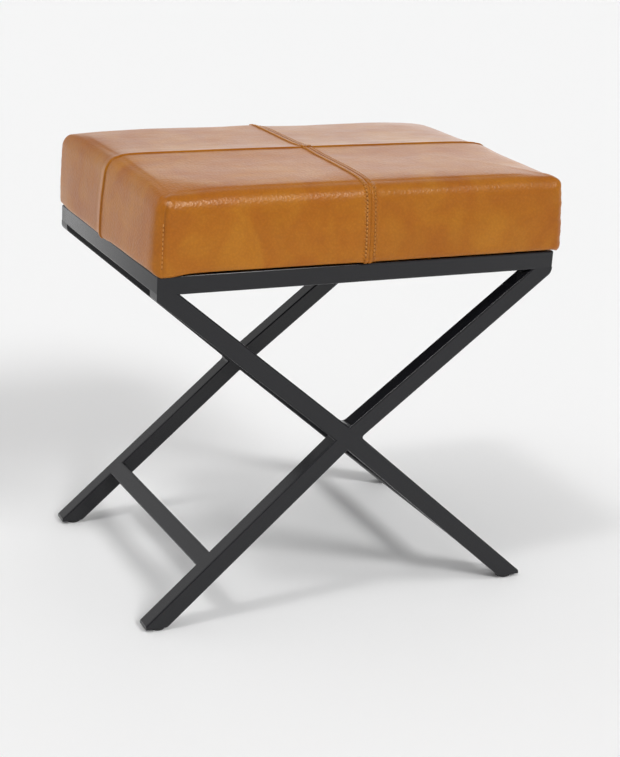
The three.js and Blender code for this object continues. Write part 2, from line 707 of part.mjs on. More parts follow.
// One leather panel: a quarter of the cover, from the seams at the middle down to its hem
function leatherPanel(signX, signY) {
  const builder = meshBuilder(signX, signY);
  const outer = skinOfQuarter(0, JOINT_GAP / 2);
  const inner = skinOfQuarter(LEATHER_THICKNESS, JOINT_GAP / 2);
  const outerRows = skinQuads(builder, outer, true);
  const innerRows = skinQuads(builder, inner, false);
  const lastPoint = outerRows[0].length - 1;
  const profile = (quarter, rows, index) => {
    const line = index === 0 ? quarter.top[0] : quarter.top.map((column) => column[0]);
    return [...line, ...rows.slice(1).map((row) => row[index])];
  };
  const seams = [0, lastPoint].map((index) => [
    profile(outer, outerRows, index),
    profile(inner, innerRows, index),
  ]);
  seams.forEach(([face, back], which) => {
    for (let m = 0; m + 1 < face.length; m += 1) {
      if (which === 0) builder.quad(face[m], face[m + 1], back[m + 1], back[m]);
      else builder.quad(face[m], back[m], back[m + 1], face[m + 1]);
    }
  });
  const hemFace = outerRows[outerRows.length - 1];
  const hemBack = innerRows[innerRows.length - 1];
  for (let p = 0; p < lastPoint; p += 1) builder.quad(hemFace[p], hemFace[p + 1], hemBack[p + 1], hemBack[p]);
  return closedGeometry(builder.positions);
}

// The foam block, with the same crown, corners and seam hollows as the leather over it
function foamBlock() {
  const positions = [];
  const inset = LEATHER_THICKNESS + SEAT_GAP;
  for (const [, signX, signY] of CORNERS) {
    const builder = meshBuilder(signX, signY);
    const quarter = cushionQuarter(inset, 0);
    quarter.addSideRow(() => 1 / SIDE_STEPS);
    quarter.addSideRow((index, sideTop, foot) => (sideTop - FOAM_BOTTOM) / (sideTop - foot));
    const rows = skinQuads(builder, quarter, true);
    const hem = rows[rows.length - 1];
    const centre = new THREE.Vector3(0, 0, FOAM_BOTTOM);
    for (let p = 0; p + 1 < hem.length; p += 1) builder.triangle(hem[p], hem[p + 1], centre);
    positions.push(...builder.positions);
  }
  return closedGeometry(positions);
}

function addCushion() {
  for (const [corner, signX, signY] of CORNERS) {
    add(`${corner}_leather_panel`, leatherPanel(signX, signY), leather);
  }
  add('foam_block', foamBlock(), foam);
}

addRails();
addLegs();
addStretchers();
addTabs();
addFixings();
addFeet();
addBoard();
addCushion();

export default stool;
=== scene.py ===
"""The dressed x frame stool: a powder-coated tube frame, a sewn leather seat and levelling glides.

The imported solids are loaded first. The tubes, the seat and the glide pads get finer pieces of their own on
the same sizes, and the other solids keep their shape and get finished materials.
Lengths are in millimetres until a mesh is made, where one factor turns them to metres.
"""

import json
import logging
import math
from dataclasses import dataclass, field
from enum import Enum
from typing import Iterator, Sequence

import bmesh
import bpy
import numpy as np
from mathutils import Matrix, Vector
from mathutils.bvhtree import BVHTree


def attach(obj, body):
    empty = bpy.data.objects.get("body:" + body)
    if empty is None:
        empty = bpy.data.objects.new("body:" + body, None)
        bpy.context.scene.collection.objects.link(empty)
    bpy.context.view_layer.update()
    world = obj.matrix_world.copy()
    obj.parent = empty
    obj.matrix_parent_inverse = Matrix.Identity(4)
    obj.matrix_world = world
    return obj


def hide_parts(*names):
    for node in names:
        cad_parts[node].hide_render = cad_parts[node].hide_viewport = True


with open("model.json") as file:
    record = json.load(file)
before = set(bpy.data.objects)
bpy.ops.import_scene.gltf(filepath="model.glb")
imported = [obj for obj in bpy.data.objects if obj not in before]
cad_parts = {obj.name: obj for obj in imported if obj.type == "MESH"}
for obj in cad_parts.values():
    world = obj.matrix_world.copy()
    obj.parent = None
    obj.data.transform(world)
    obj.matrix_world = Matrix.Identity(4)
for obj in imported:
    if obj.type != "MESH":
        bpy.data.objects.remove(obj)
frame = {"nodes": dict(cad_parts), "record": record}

log = logging.getLogger("stool")

MM = 0.001
BODY = "frame_and_seat"
CORNERS = {"front_left": (-1, -1), "front_right": (1, -1), "back_left": (-1, 1), "back_right": (1, 1)}
BACK = Vector((0.0, 1.0, 0.0))
UP = Vector((0.0, 0.0, 1.0))
# No edge bends more than this, so all are shaded smooth.
SMOOTH_DEGREES = 180.0


# Shared helpers


def hex_to_linear(colour: str) -> tuple[float, float, float, float]:
    """Turns an sRGB hex colour to linear light.

    Args:
        colour: six hex digits after a hash sign.

    Returns:
        Red, green, blue and an alpha of one.
    """
    parts = [int(colour[i : i + 2], 16) / 255 for i in (1, 3, 5)]
    linear = [c / 12.92 if c <= 0.04045 else ((c + 0.055) / 1.055) ** 2.4 for c in parts]
    return linear[0], linear[1], linear[2], 1.0


def per_metre(size_mm: float) -> float:
    """The texture scale whose pattern repeats about once in size_mm."""
    return 1.0 / (size_mm * MM)


def add_node(
    tree: bpy.types.NodeTree,
    kind: str,
    settings: dict[str, object] | None = None,
    links: dict[str, bpy.types.NodeSocket] | None = None,
) -> bpy.types.Node:
    """Adds one node with its settings and links.

    Args:
        tree: the material's or world's node tree.
        kind: the node's type name without its ShaderNode prefix.
        settings: socket values by socket name, or the node's own properties by name.
        links: the output that feeds each named socket.

    Returns:
        The new node.
    """
    node = tree.nodes.new("ShaderNode" + kind)
    for name, value in (settings or {}).items():
        if hasattr(node, name):
            setattr(node, name, value)
        else:
            node.inputs[name].default_value = value
    for name, output in (links or {}).items():
        tree.links.new(output, node.inputs[name])
    return node


def bell(distance: np.ndarray, width: float) -> np.ndarray:
    """A smooth bump, one at no distance and falling away over a width."""
    return np.exp(-((distance / width) ** 2))


def bridge(bm: bmesh.types.BMesh, rings: Sequence[Sequence[bmesh.types.BMVert]]) -> None:
    """Joins closed rings of vertices, each to the next, with four-sided faces.

    Args:
        bm: the mesh to add to.
        rings: the rings, all with the same number of vertices.
    """
    for here, there in zip(rings, rings[1:]):
        for i in range(len(here)):
            j = (i + 1) % len(here)
            bm.faces.new((here[i], here[j], there[j], there[i]))


def mesh_object(
    name: str,
    vertices: Sequence[Sequence[float]],
    faces: Sequence[Sequence[int]],
    sharp_degrees: float = 35.0,
) -> bpy.types.Object:
    """Makes an object from millimetre vertices and shades it smooth up to an angle.

    Args:
        name: the piece's name.
        vertices: points in millimetres.
        faces: vertex numbers of each face.
        sharp_degrees: edges that bend more than this stay sharp.

    Returns:
        The object, linked to the scene.
    """
    mesh = bpy.data.meshes.new(name)
    mesh.from_pydata([tuple(float(c) * MM for c in v) for v in vertices], [], [tuple(f) for f in faces])
    mesh.validate()
    return mesh_to_object(name, mesh, sharp_degrees)


def mesh_to_object(name: str, mesh: bpy.types.Mesh, sharp_degrees: float) -> bpy.types.Object:
    """Links a finished mesh to the scene and shades it smooth up to an angle.

    Args:
        name: the piece's name.
        mesh: its mesh, in metres.
        sharp_degrees: edges that bend more than this stay sharp.

    Returns:
        The object.
    """
    mesh.shade_smooth()
    mesh.set_sharp_from_angle(angle=math.radians(sharp_degrees))
    obj = bpy.data.objects.new(name, mesh)
    bpy.context.collection.objects.link(obj)
    return obj


def dress(obj: bpy.types.Object, material: bpy.types.Material) -> bpy.types.Object:
    """Gives an object one material in place of its own.

    Args:
        obj: the piece.
        material: its finish.

    Returns:
        The same object.
    """
    obj.data.materials.clear()
    obj.data.materials.append(material)
    return obj


def new_material(name: str) -> tuple[bpy.types.Material, bpy.types.Node, bpy.types.NodeSocket]:
    """Makes a material that is still plain.

    Args:
        name: what the real finish is.

    Returns:
        The material, its shader, and the place on the piece, which its patterns follow.
    """
    material = bpy.data.materials.new(name)
    material.use_nodes = True
    place = add_node(material.node_tree, "TexCoord").outputs["Object"]
    return material, material.node_tree.nodes["Principled BSDF"], place


# Finishes


@dataclass(frozen=True)
class PowderCoat:
    """Satin black polyester powder coat on steel tube: near black, with a soft even sheen."""

    name: str = "black_satin_powder_coat"
    colour: str = "#131317"
    roughness: float = 0.22
    gloss_spread: tuple[float, float] = (-0.03, 0.05)
    gloss_mm: float = 45.0
    peel_mm: float = 1.6
    peel_depth_mm: float = 0.012
    ior: float = 1.46

    def material(self) -> bpy.types.Material:
        """Builds the coat with its slight orange peel and its uneven gloss.

        Returns:
            The material.
        """
        material, shader, place = new_material(self.name)
        tree = material.node_tree
        peels = {"Scale": per_metre(self.peel_mm), "Detail": 2.0}
        peel = add_node(tree, "TexNoise", peels, {"Vector": place})
        clouds = {"Scale": per_metre(self.gloss_mm), "Detail": 3.0}
        cloud = add_node(tree, "TexNoise", clouds, {"Vector": place})
        low, high = self.gloss_spread
        spread = {"To Min": self.roughness + low, "To Max": self.roughness + high}
        gloss = add_node(tree, "MapRange", spread, {"Value": cloud.outputs["Fac"]})
        relief = {"Strength": 0.35, "Distance": self.peel_depth_mm * MM}
        bump = add_node(tree, "Bump", relief, {"Height": peel.outputs["Fac"]})
        shader.inputs["Base Color"].default_value = hex_to_linear(self.colour)
        shader.inputs["IOR"].default_value = self.ior
        tree.links.new(gloss.outputs["Result"], shader.inputs["Roughness"])
        tree.links.new(bump.outputs["Normal"], shader.inputs["Normal"])
        return material


@dataclass(frozen=True)
class AnilineLeather:
    """Tan aniline-dyed cowhide, waxed: warm and saturated face on, pale where it mirrors the room."""

    name: str = "tan_aniline_leather"
    deep: str = "#A35C10"
    mid: str = "#A96412"
    light: str = "#B16F18"
    dye_stops: tuple[float, float, float] = (0.34, 0.5, 0.68)
    mirror: str = "#FAE6D0"
    roughness: float = 0.31
    wax_spread: tuple[float, float] = (-0.03, 0.05)
    ior: float = 1.43
    cloud_mm: float = 55.0
    streak_mm: float = 38.0
    streak_stretch: tuple[float, float, float] = (1.0, 3.2, 1.0)
    streak_turn: tuple[float, float, float] = (0.0, 0.0, 0.12)
    # Real grain is near 0.7 mm, too fine for the picture, so it is drawn coarser.
    grain_mm: float = 2.6
    grain_depth_mm: float = 0.30
    crease_mm: float = 9.0
    crease_depth_mm: float = 0.10
    stitch_mm: float = 4.2
    pucker_depth_mm: float = 0.9

    def material(self) -> bpy.types.Material:
        """Builds the dye's clouds, grain, creases and uneven wax, and the painted seam shade and highlights.

        Returns:
            The material.
        """
        material, shader, place = new_material(self.name)
        tree = material.node_tree
        clouds = {"Scale": per_metre(self.cloud_mm), "Detail": 4.0, "Roughness": 0.55, "Distortion": 0.6}
        cloud = add_node(tree, "TexNoise", clouds, {"Vector": place})
        dye = add_node(tree, "ValToRGB", {}, {"Fac": cloud.outputs["Fac"]})
        ramp = dye.color_ramp.elements
        ramp.new(self.dye_stops[1])
        for stop, position, colour in zip(ramp, self.dye_stops, (self.deep, self.mid, self.light)):
            stop.position = position
            stop.color = hex_to_linear(colour)
        stretch = {"Scale": self.streak_stretch, "Rotation": self.streak_turn}
        stretched = add_node(tree, "Mapping", stretch, {"Vector": place})
        streaks = {"Scale": per_metre(self.streak_mm), "Detail": 5.0, "Roughness": 0.6}
        streak = add_node(tree, "TexNoise", streaks, {"Vector": stretched.outputs["Vector"]})
        grains = {"Scale": per_metre(self.grain_mm), "feature": "SMOOTH_F1", "Smoothness": 0.35}
        grain = add_node(tree, "TexVoronoi", grains, {"Vector": place})
        creases = {"Scale": per_metre(self.crease_mm), "Detail": 6.0, "Roughness": 0.62}
        crease = add_node(tree, "TexNoise", creases, {"Vector": place})
        # The wave's own period is 0.2 pi of its scaled length on each axis.
        pulls = {"bands_direction": "DIAGONAL", "Scale": 0.2 * math.pi * per_metre(self.stitch_mm)}
        pull = add_node(tree, "TexWave", pulls, {"Vector": place})
        # Painted shade in seams and stitch rows, and painted highlights on the seam step and hem edge.
        painted_shade_and_highlight = add_node(tree, "Attribute", {"attribute_name": "painted_shade_and_highlight"})
        stitch_pull = add_node(tree, "Attribute", {"attribute_name": "stitch_pull"})

        tones = {"From Min": 0.3, "From Max": 0.7, "To Min": 0.97, "To Max": 1.03}
        tone = add_node(tree, "MapRange", tones, {"Value": streak.outputs["Fac"]})
        pores = {"From Min": 0.1, "From Max": 0.7, "To Min": 1.05, "To Max": 0.93}
        pore = add_node(tree, "MapRange", pores, {"Value": grain.outputs["Distance"]})
        colour = dye.outputs["Color"]
        for factor in (tone.outputs["Result"], pore.outputs["Result"], painted_shade_and_highlight.outputs["Fac"]):
            links = {"Vector": colour, "Scale": factor}
            colour = add_node(tree, "VectorMath", {"operation": "SCALE"}, links).outputs["Vector"]

        links = {"Vector": pull.outputs["Color"], "Scale": stitch_pull.outputs["Fac"]}
        pucker = add_node(tree, "VectorMath", {"operation": "SCALE"}, links)
        beneath = {}
        for height, strength, depth_mm in (
            (grain.outputs["Distance"], 0.6, self.grain_depth_mm),
            (crease.outputs["Fac"], 0.5, self.crease_depth_mm),
            (pucker.outputs["Vector"], 1.0, self.pucker_depth_mm),
        ):
            relief = {"Strength": strength, "Distance": depth_mm * MM}
            bump = add_node(tree, "Bump", relief, {"Height": height, **beneath})
            beneath = {"Normal": bump.outputs["Normal"]}

        low, high = self.wax_spread
        spread = {"From Min": 0.3, "From Max": 0.7}
        spread |= {"To Min": self.roughness + low, "To Max": self.roughness + high}
        wax = add_node(tree, "MapRange", spread, {"Value": streak.outputs["Fac"]})
        tree.links.new(colour, shader.inputs["Base Color"])
        tree.links.new(wax.outputs["Result"], shader.inputs["Roughness"])
        tree.links.new(beneath["Normal"], shader.inputs["Normal"])
        shader.inputs["IOR"].default_value = self.ior
        # The dye tints what it mirrors face on, and a grazing look stays white.
        shader.inputs["Specular Tint"].default_value = hex_to_linear(self.mirror)
        return material


@dataclass(frozen=True)
class PlainFinish:
    """A finish with one colour, a broken-up tone and a fine bump, for the smaller and hidden pieces."""

    name: str
    colour: str
    roughness: float
    metallic: float = 0.0
    ior: float = 1.5
    speck_mm: float = 1.0
    speck_depth_mm: float = 0.02
    tone: float = 0.12
    stretch: tuple[float, float, float] = (1.0, 1.0, 1.0)

    def material(self) -> bpy.types.Material:
        """Builds the finish from its colour, speck size and tone.

        Returns:
            The material.
        """
        material, shader, place = new_material(self.name)
        tree = material.node_tree
        laid = add_node(tree, "Mapping", {"Scale": self.stretch}, {"Vector": place})
        specks = {"Scale": per_metre(self.speck_mm), "Detail": 4.0}
        speck = add_node(tree, "TexNoise", specks, {"Vector": laid.outputs["Vector"]})
        tones = {"From Min": 0.3, "From Max": 0.7, "To Min": 1.0 - self.tone, "To Max": 1.0 + self.tone}
        tone = add_node(tree, "MapRange", tones, {"Value": speck.outputs["Fac"]})
        tint = {"operation": "SCALE", "Vector": hex_to_linear(self.colour)[:3]}
        toned = add_node(tree, "VectorMath", tint, {"Scale": tone.outputs["Result"]})
        relief = {"Strength": 0.5, "Distance": self.speck_depth_mm * MM}
        bump = add_node(tree, "Bump", relief, {"Height": speck.outputs["Fac"]})
        tree.links.new(toned.outputs["Vector"], shader.inputs["Base Color"])
        tree.links.new(bump.outputs["Normal"], shader.inputs["Normal"])
        shader.inputs["Roughness"].default_value = self.roughness
        shader.inputs["Metallic"].default_value = self.metallic
        if self.metallic == 0.0:
            shader.inputs["IOR"].default_value = self.ior
        return material


class Finish(Enum):
    """The stool's finishes, each under the record's material slot."""

    # Satin black, a little lighter where it mirrors the room.
    powder_coated_steel = PowderCoat()
    # Bright grey and slightly hazy.
    zinc_plated_steel = PlainFinish("zinc_plated_steel", "#B9BBBE", 0.32, metallic=1.0, speck_mm=3.0)
    # Matt black with a faint moulded skin.
    black_nylon = PlainFinish("moulded_black_nylon", "#161617", 0.5, ior=1.53, speck_mm=1.4)
    # Waxy orange tan.
    tan_leather = AnilineLeather()
    # Pale wood with long fine grain.
    birch_plywood = PlainFinish(
        "sanded_birch_plywood", "#C9A97A", 0.65, speck_mm=6.0, tone=0.2, stretch=(0.12, 1.0, 1.0)
    )
    # Cream and porous.
    seat_foam = PlainFinish("cream_polyurethane_foam", "#E6DCBF", 0.95, speck_mm=1.2, speck_depth_mm=0.2)
    # Dull black felted cloth.
    black_non_woven_lining = PlainFinish(
        "black_non_woven_lining", "#141415", 0.95, speck_mm=1.5, speck_depth_mm=0.08, tone=0.3
    )


# Bonded polyester, a little paler than the hide, which shows as a row of light dashes.
THREAD = PlainFinish("tan_bonded_thread", "#BE8038", 0.75, speck_mm=0.6, speck_depth_mm=0.05)
# Painted shade of the needle holes: flat beads a darker brown than the hide, laid between the stitches.
HOLE_SHADE = PlainFinish("needle_hole_shade", "#7E4C1E", 0.9, speck_mm=0.6, speck_depth_mm=0.02)


# The tube frame


@dataclass
class Arm:
    """Half of one crossed leg tube, from the crossing to the rail or to the floor."""

    name: str
    side: int
    upper: bool
    centre: tuple[float, float]
    direction: Vector = field(default_factory=Vector)
    length: float = 0.0

    def point(self, distance: float, y: float) -> Vector:
        """The place on the arm's axis at a distance from the crossing."""
        return Vector((self.centre[0], y, self.centre[1])) + self.direction * distance


@dataclass
class TubeFrame:
    """The welded frame: a ring of rails, two crossed legs of four arms each, and two stretchers."""

    width: float = 460.0
    depth: float = 314.0
    top: float = 391.0
    tube: float = 20.0
    arris: float = 2.0
    arris_steps: int = 5
    arris_support: float = 0.35
    sharp_degrees: float = 24.0
    cut_tolerance: float = 1e-5
    ring_merge: float = 1e-4
    leg_merge: float = 1e-3
    crossings: dict[str, tuple[float, float]] = field(
        default_factory=lambda: {"front": (-5.0, 196.5), "back": (-6.0, 190.5)}
    )
    shoulder_drop: float = 5.6
    shoulder_radii: dict[str, float] = field(
        default_factory=lambda: {"front_left": 3.0, "front_right": 14.0, "back_left": 8.0, "back_right": 8.0}
    )
    shoulder_steps: int = 6
    foot_tip: float = 4.0
    foot_cut: float = 3.5
    foot_clearance: float = 0.05
    stretcher_up_front_leg: float = 87.5
    stretcher_up_back_leg: float = 83.5
    corner_round: float = 1.0
    corner_steps: int = 3
    overrun: float = 30.0
    # Weld run along each arm in the left, bottom, right and top notch
    notch_welds: dict[str, tuple[float, ...]] = field(
        default_factory=lambda: {"front": (1.2, 1.2, 3.2, 5.5), "back": (3.5, 1.2, 2.5, 2.5)}
    )
    weld_root: float = 2.0
    weld_inset: float = 1.2
    weld_steps: int = 6

    @property
    def rail_bottom(self) -> float:
        """Height of the rails' undersides."""
        return self.top - self.tube

    def section(self) -> list[tuple[float, float]]:
        """The tube's outline, with a support point beside each rounded arris.

        Returns:
            Points anticlockwise about the tube's axis.
        """
        flat = self.tube / 2 - self.arris
        points: list[tuple[float, float]] = []
        for quarter in range(4):
            start = quarter * math.pi / 2
            cx = flat * (1 if quarter in (0, 3) else -1)
            cy = flat * (1 if quarter in (0, 1) else -1)
            turns = [start + math.pi / 2 * step / self.arris_steps for step in range(self.arris_steps + 1)]
            arc = [(cx + self.arris * math.cos(turn), cy + self.arris * math.sin(turn)) for turn in turns]
            support, end = self.arris_support, turns[-1]
            first = (arc[0][0] + support * math.sin(start), arc[0][1] - support * math.cos(start))
            last = (arc[-1][0] - support * math.sin(end), arc[-1][1] + support * math.cos(end))
            points += [first, *arc, last]
        return points

    def arms(self, crossing: tuple[float, float]) -> list[Arm]:
        """The four arms of one crossed leg, in order round the crossing.

        Args:
            crossing: where the crossing stands across the stool and its height.

        Returns:
            Upper left, lower left, lower right and upper right.
        """
        crossing_x, crossing_height = crossing
        result = []
        for name, side, upper in (
            ("upper_left", -1, True),
            ("lower_left", -1, False),
            ("lower_right", 1, False),
            ("upper_right", 1, True),
        ):
            across = self.width / 2 - side * crossing_x
            corner = self.rail_bottom - self.shoulder_drop if upper else self.foot_cut + self.foot_tip
            rise = corner - crossing_height
            to_axis = math.asin(self.tube / 2 / math.hypot(across, rise))
            lean = math.atan2(rise, across) + (to_axis if upper else -to_axis)
            reach = self.rail_bottom if upper else self.foot_cut
            arm = Arm(name, side, upper, crossing)
            arm.direction = Vector((side * math.cos(lean), 0.0, math.sin(lean)))
            arm.length = (reach - crossing_height) / math.sin(lean)
            result.append(arm)
        return result

    def swept(
        self, bm: bmesh.types.BMesh, origin: Vector, along: Vector, sideways: Vector, length: float
    ) -> None:
        """Adds an open tube of the frame's section.

        Args:
            bm: the mesh to add to.
            origin: the middle of the tube's first end.
            along: unit vector of the tube's axis.
            sideways: unit vector that one pair of faces stays square to.
            length: the tube's length.
        """
        across = sideways.cross(along)
        rings = []
        for distance in (0.0, length):
            ring = []
            for a, b in self.section():
                ring.append(bm.verts.new(origin + across * a + sideways * b + along * distance))
            rings.append(ring)
        bridge(bm, rings)

    def cut(self, bm: bmesh.types.BMesh, point: Vector, normal: Vector, close: bool) -> None:
        """Cuts away what lies on the normal's side of a plane.

        Args:
            bm: the mesh to cut.
            point: a place on the plane.
            normal: the way the plane faces.
            close: whether the cut is closed with a face.
        """
        everything = bm.verts[:] + bm.edges[:] + bm.faces[:]
        result = bmesh.ops.bisect_plane(
            bm, geom=everything, dist=self.cut_tolerance, plane_co=point, plane_no=normal, clear_outer=True
        )
        edges = [g for g in result["geom_cut"] if isinstance(g, bmesh.types.BMEdge)]
        if close and edges:
            bmesh.ops.contextual_create(bm, geom=edges)

    def arm_mesh(self, arm: Arm, neighbours: tuple[Arm, Arm], y: float, shoulder: float) -> bmesh.types.BMesh:
        """One arm, mitred at the crossing and trimmed at its far end.

        Args:
            arm: the arm to make.
            neighbours: the arms on either side of it.
            y: the middle of its depth.
            shoulder: the radius ground on the corner under the rail.

        Returns:
            The arm's mesh in millimetres.
        """
        bm = bmesh.new()
        centre = Vector((arm.centre[0], y, arm.centre[1]))
        start = centre - arm.direction * self.overrun
        self.swept(bm, start, arm.direction, BACK, arm.length + 2 * self.overrun)
        for other in neighbours:
            line = (arm.direction + other.direction).normalized()
            away = line.cross(BACK)
            if away.dot(arm.direction) > 0:
                away = -away
            self.cut(bm, centre, away, close=False)
        side = Vector((arm.side, 0.0, 0.0))
        wall = side * (self.width / 2)
        self.cut(bm, wall, side, close=True)
        if not arm.upper:
            heel = Vector((0.0, 0.0, self.foot_cut + self.foot_clearance))
            self.cut(bm, heel, -UP, close=True)
            return bm
        corner = Vector((wall.x, y, self.rail_bottom - self.shoulder_drop))
        turn = math.acos(arm.direction.z)
        tangent = shoulder * math.tan(turn / 2)
        middle = corner + Vector((-arm.side * shoulder, 0.0, tangent))
        for step in range(1, self.shoulder_steps):
            angle = turn * step / self.shoulder_steps
            out = Vector((arm.side * math.cos(angle), 0.0, -math.sin(angle)))
            self.cut(bm, middle + out * shoulder, out, close=True)
        inside_rail = Vector((0.0, 0.0, self.rail_bottom + self.arris))
        self.cut(bm, inside_rail, UP, close=False)
        return bm

    def rail_ring(self, bm: bmesh.types.BMesh) -> None:
        """Adds the four mitred rails as one ring with lightly rounded corners.

        Args:
            bm: the mesh to add to.
        """
        half = self.tube / 2
        middle = self.top - half
        pivot = half - self.corner_round
        stations: list[list[bmesh.types.BMVert]] = []
        for quarter, (sx, sy) in enumerate(((1, 1), (-1, 1), (-1, -1), (1, -1))):
            for step in range(self.corner_steps + 1):
                angle = quarter * math.pi / 2 + math.pi / 2 * step / self.corner_steps
                ring = []
                for a, b in self.section():
                    reach = min(a, pivot)
                    x = sx * (self.width / 2 - half + reach)
                    y = sy * (self.depth / 2 - half + reach)
                    out = max(a - pivot, 0.0)
                    place = (x + out * math.cos(angle), y + out * math.sin(angle), middle + b)
                    ring.append(bm.verts.new(place))
                stations.append(ring)
        bridge(bm, [*stations, stations[0]])
        bmesh.ops.remove_doubles(bm, verts=bm.verts[:], dist=self.ring_merge)

    def notch_fillet(
        self, bm: bmesh.types.BMesh, first: Arm, second: Arm, y: float, size: float
    ) -> None:
        """Adds the weld in a notch between two arms: a small web with a hollow face.

        Args:
            bm: the mesh to add to.
            first: the arm on one side of the notch.
            second: the arm on the other side.
            y: the middle of the arms' depth.
            size: how far the weld runs along each arm.
        """
        line = (first.direction + second.direction).normalized()
        half_angle = math.acos(max(-1.0, min(1.0, line.dot(first.direction))))
        axis = Vector((first.centre[0], 0.0, first.centre[1]))
        apex = axis + line * (self.tube / 2 / math.sin(half_angle))
        first_end = apex + first.direction * size
        second_end = apex + second.direction * size
        centre = apex + line * (size / math.cos(half_angle))
        radius = (first_end - centre).length
        outline = [apex - line * self.weld_root]
        for step in range(self.weld_steps + 1):
            point = first_end.lerp(second_end, step / self.weld_steps)
            outline.append(centre + (point - centre).normalized() * radius)
        low, high = y - self.tube / 2 + self.weld_inset, y + self.tube / 2 - self.weld_inset
        rings = [[bm.verts.new((p.x, depth, p.z)) for p in outline] for depth in (low, high)]
        bridge(bm, rings)
        bm.faces.new(rings[0])
        bm.faces.new(rings[1][::-1])

    def build(self, coat: bpy.types.Material) -> list[bpy.types.Object]:
        """Makes the frame's pieces and dresses them.

        Args:
            coat: the frame's finish.

        Returns:
            The rail ring, both crossed legs and both stretchers.
        """
        pieces = []
        ring = bmesh.new()
        self.rail_ring(ring)
        pieces.append(self.finish("rail_ring", ring, coat))
        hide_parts("front_rail", "back_rail", "left_rail", "right_rail")
        planes = {"front": -(self.depth - self.tube) / 2, "back": (self.depth - self.tube) / 2}
        legs = {where: self.arms(crossing) for where, crossing in self.crossings.items()}
        for where, arms in legs.items():
            bm = bmesh.new()
            for index, arm in enumerate(arms):
                neighbours = (arms[index - 1], arms[(index + 1) % 4])
                side = "left" if arm.side < 0 else "right"
                part = self.arm_mesh(arm, neighbours, planes[where], self.shoulder_radii[f"{where}_{side}"])
                self.join(bm, part)
            bmesh.ops.remove_doubles(bm, verts=bm.verts[:], dist=self.leg_merge)
            for index, (arm, weld) in enumerate(zip(arms, self.notch_welds[where])):
                self.notch_fillet(bm, arm, arms[(index + 1) % 4], planes[where], weld)
            piece = self.finish(f"{where}_crossed_leg", bm, coat)
            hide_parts(*(f"{where}_{arm.name}_leg" for arm in arms))
            pieces.append(piece)
        for side, index in (("left", 1), ("right", 2)):
            front, back = legs["front"][index], legs["back"][index]
            front_end = front.point(front.length - self.stretcher_up_front_leg, planes["front"])
            back_end = back.point(back.length - self.stretcher_up_back_leg, planes["back"])
            lean = (front.direction + back.direction).normalized()
            along = (back_end - front_end).normalized()
            sideways = Vector((-lean.z, 0.0, lean.x)).cross(along).normalized()
            bm = bmesh.new()
            self.swept(bm, front_end, along, sideways, (back_end - front_end).length)
            reach = self.depth / 2 - self.tube + self.arris
            for way in (-BACK, BACK):
                self.cut(bm, way * reach, way, close=False)
            piece = self.finish(f"{side}_cross_stretcher", bm, coat)
            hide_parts(f"{side}_stretcher")
            pieces.append(piece)
        return pieces

    @staticmethod
    def join(target: bmesh.types.BMesh, part: bmesh.types.BMesh) -> None:
        """Copies one mesh into another and frees it.

        Args:
            target: the mesh that grows.
            part: the mesh that is used up.
        """
        holder = bpy.data.meshes.new("part")
        part.to_mesh(holder)
        part.free()
        target.from_mesh(holder)
        bpy.data.meshes.remove(holder)

    def finish(self, name: str, bm: bmesh.types.BMesh, coat: bpy.types.Material) -> bpy.types.Object:
        """Turns a millimetre mesh into a dressed piece that rides on the frame.

        Args:
            name: the piece's name.
            bm: its mesh, which is freed.
            coat: its finish.

        Returns:
            The piece.
        """
        bmesh.ops.scale(bm, vec=(MM, MM, MM), verts=bm.verts[:])
        bmesh.ops.recalc_face_normals(bm, faces=bm.faces[:])
        mesh = bpy.data.meshes.new(name)
        bm.to_mesh(mesh)
        bm.free()
        obj = dress(mesh_to_object(name, mesh, self.sharp_degrees), coat)
        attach(obj, BODY)
        return obj


# The seat


@dataclass(frozen=True)
class CornerHabit:
    """How one corner of the hand-sewn seat differs, in millimetres but for thread weight and the panel's
    painted shade.
    """

    drop: float
    roundness: float = 9.0
    flare: float = 0.0
    seam_shift: float = 0.0
    ear: float = 0.0
    stitch_back: float = 3.0
    stitch_weight: float = 0.5
    pucker: float = 0.35
    hang: float = 2.2
    lift: float = 0.0
    # Tone scales the panel's colour: painted shade for how much of the room each panel mirrors.
    tone: float = 1.0


@dataclass(frozen=True)
class Bead:
    """A small solid that repeats along a stitch row, with radii and lifts in millimetres.

    Its start and length are shares of the stitch pitch. Each ring has its share of the length, its radius and
    its lift off the leather. Thickness is how high the ring stands for its width.
    """

    name: str
    start: float
    length: float
    thickness: float
    rings: tuple[tuple[float, float, float], ...]
    sides: int = 6


STITCH = Bead(
    name="topstitching",
    start=0.14,
    length=0.72,
    thickness=1.0,
    rings=((0.0, 0.25, -0.35), (0.14, 0.58, 0.05), (0.5, 0.70, 0.26), (0.86, 0.58, 0.05), (1.0, 0.25, -0.35)),
)
# Flat dark beads between the stitches, painted shade where the needle holes are.
NEEDLE_HOLE_SHADE = Bead(
    name="needle_hole_painted_shade",
    start=-0.15,
    length=0.30,
    thickness=0.25,
    rings=((0.0, 0.15, 0.0), (0.3, 0.45, 0.04), (0.7, 0.45, 0.04), (1.0, 0.15, 0.0)),
)


class Surface:
    """The cover's vertices while it is sewn, with each one's move outwards, painted shade and stitch pull."""

    def __init__(self, co: np.ndarray) -> None:
        """Starts with no moves, no painted shade and no pull.

        Args:
            co: the vertices' places in millimetres.
        """
        self.co = co
        self.depth = np.zeros(len(co))
        self.shade = np.ones(len(co))
        self.pull = np.zeros(len(co))

    def ripples(self) -> np.ndarray:
        """The hide's slow unevenness: waves of 55 to 170 mm that never line up.

        Returns:
            A share of the ripples' height for each vertex.
        """
        x, y, z = self.co.T
        slow = np.sin(x * 0.051 + 1.3 * np.sin(y * 0.037)) * np.sin(y * 0.063 + 0.8)
        quick = np.sin(x * 0.113 + z * 0.09 + 2.1) * np.cos(y * 0.097 - z * 0.05)
        return slow + 0.6 * quick


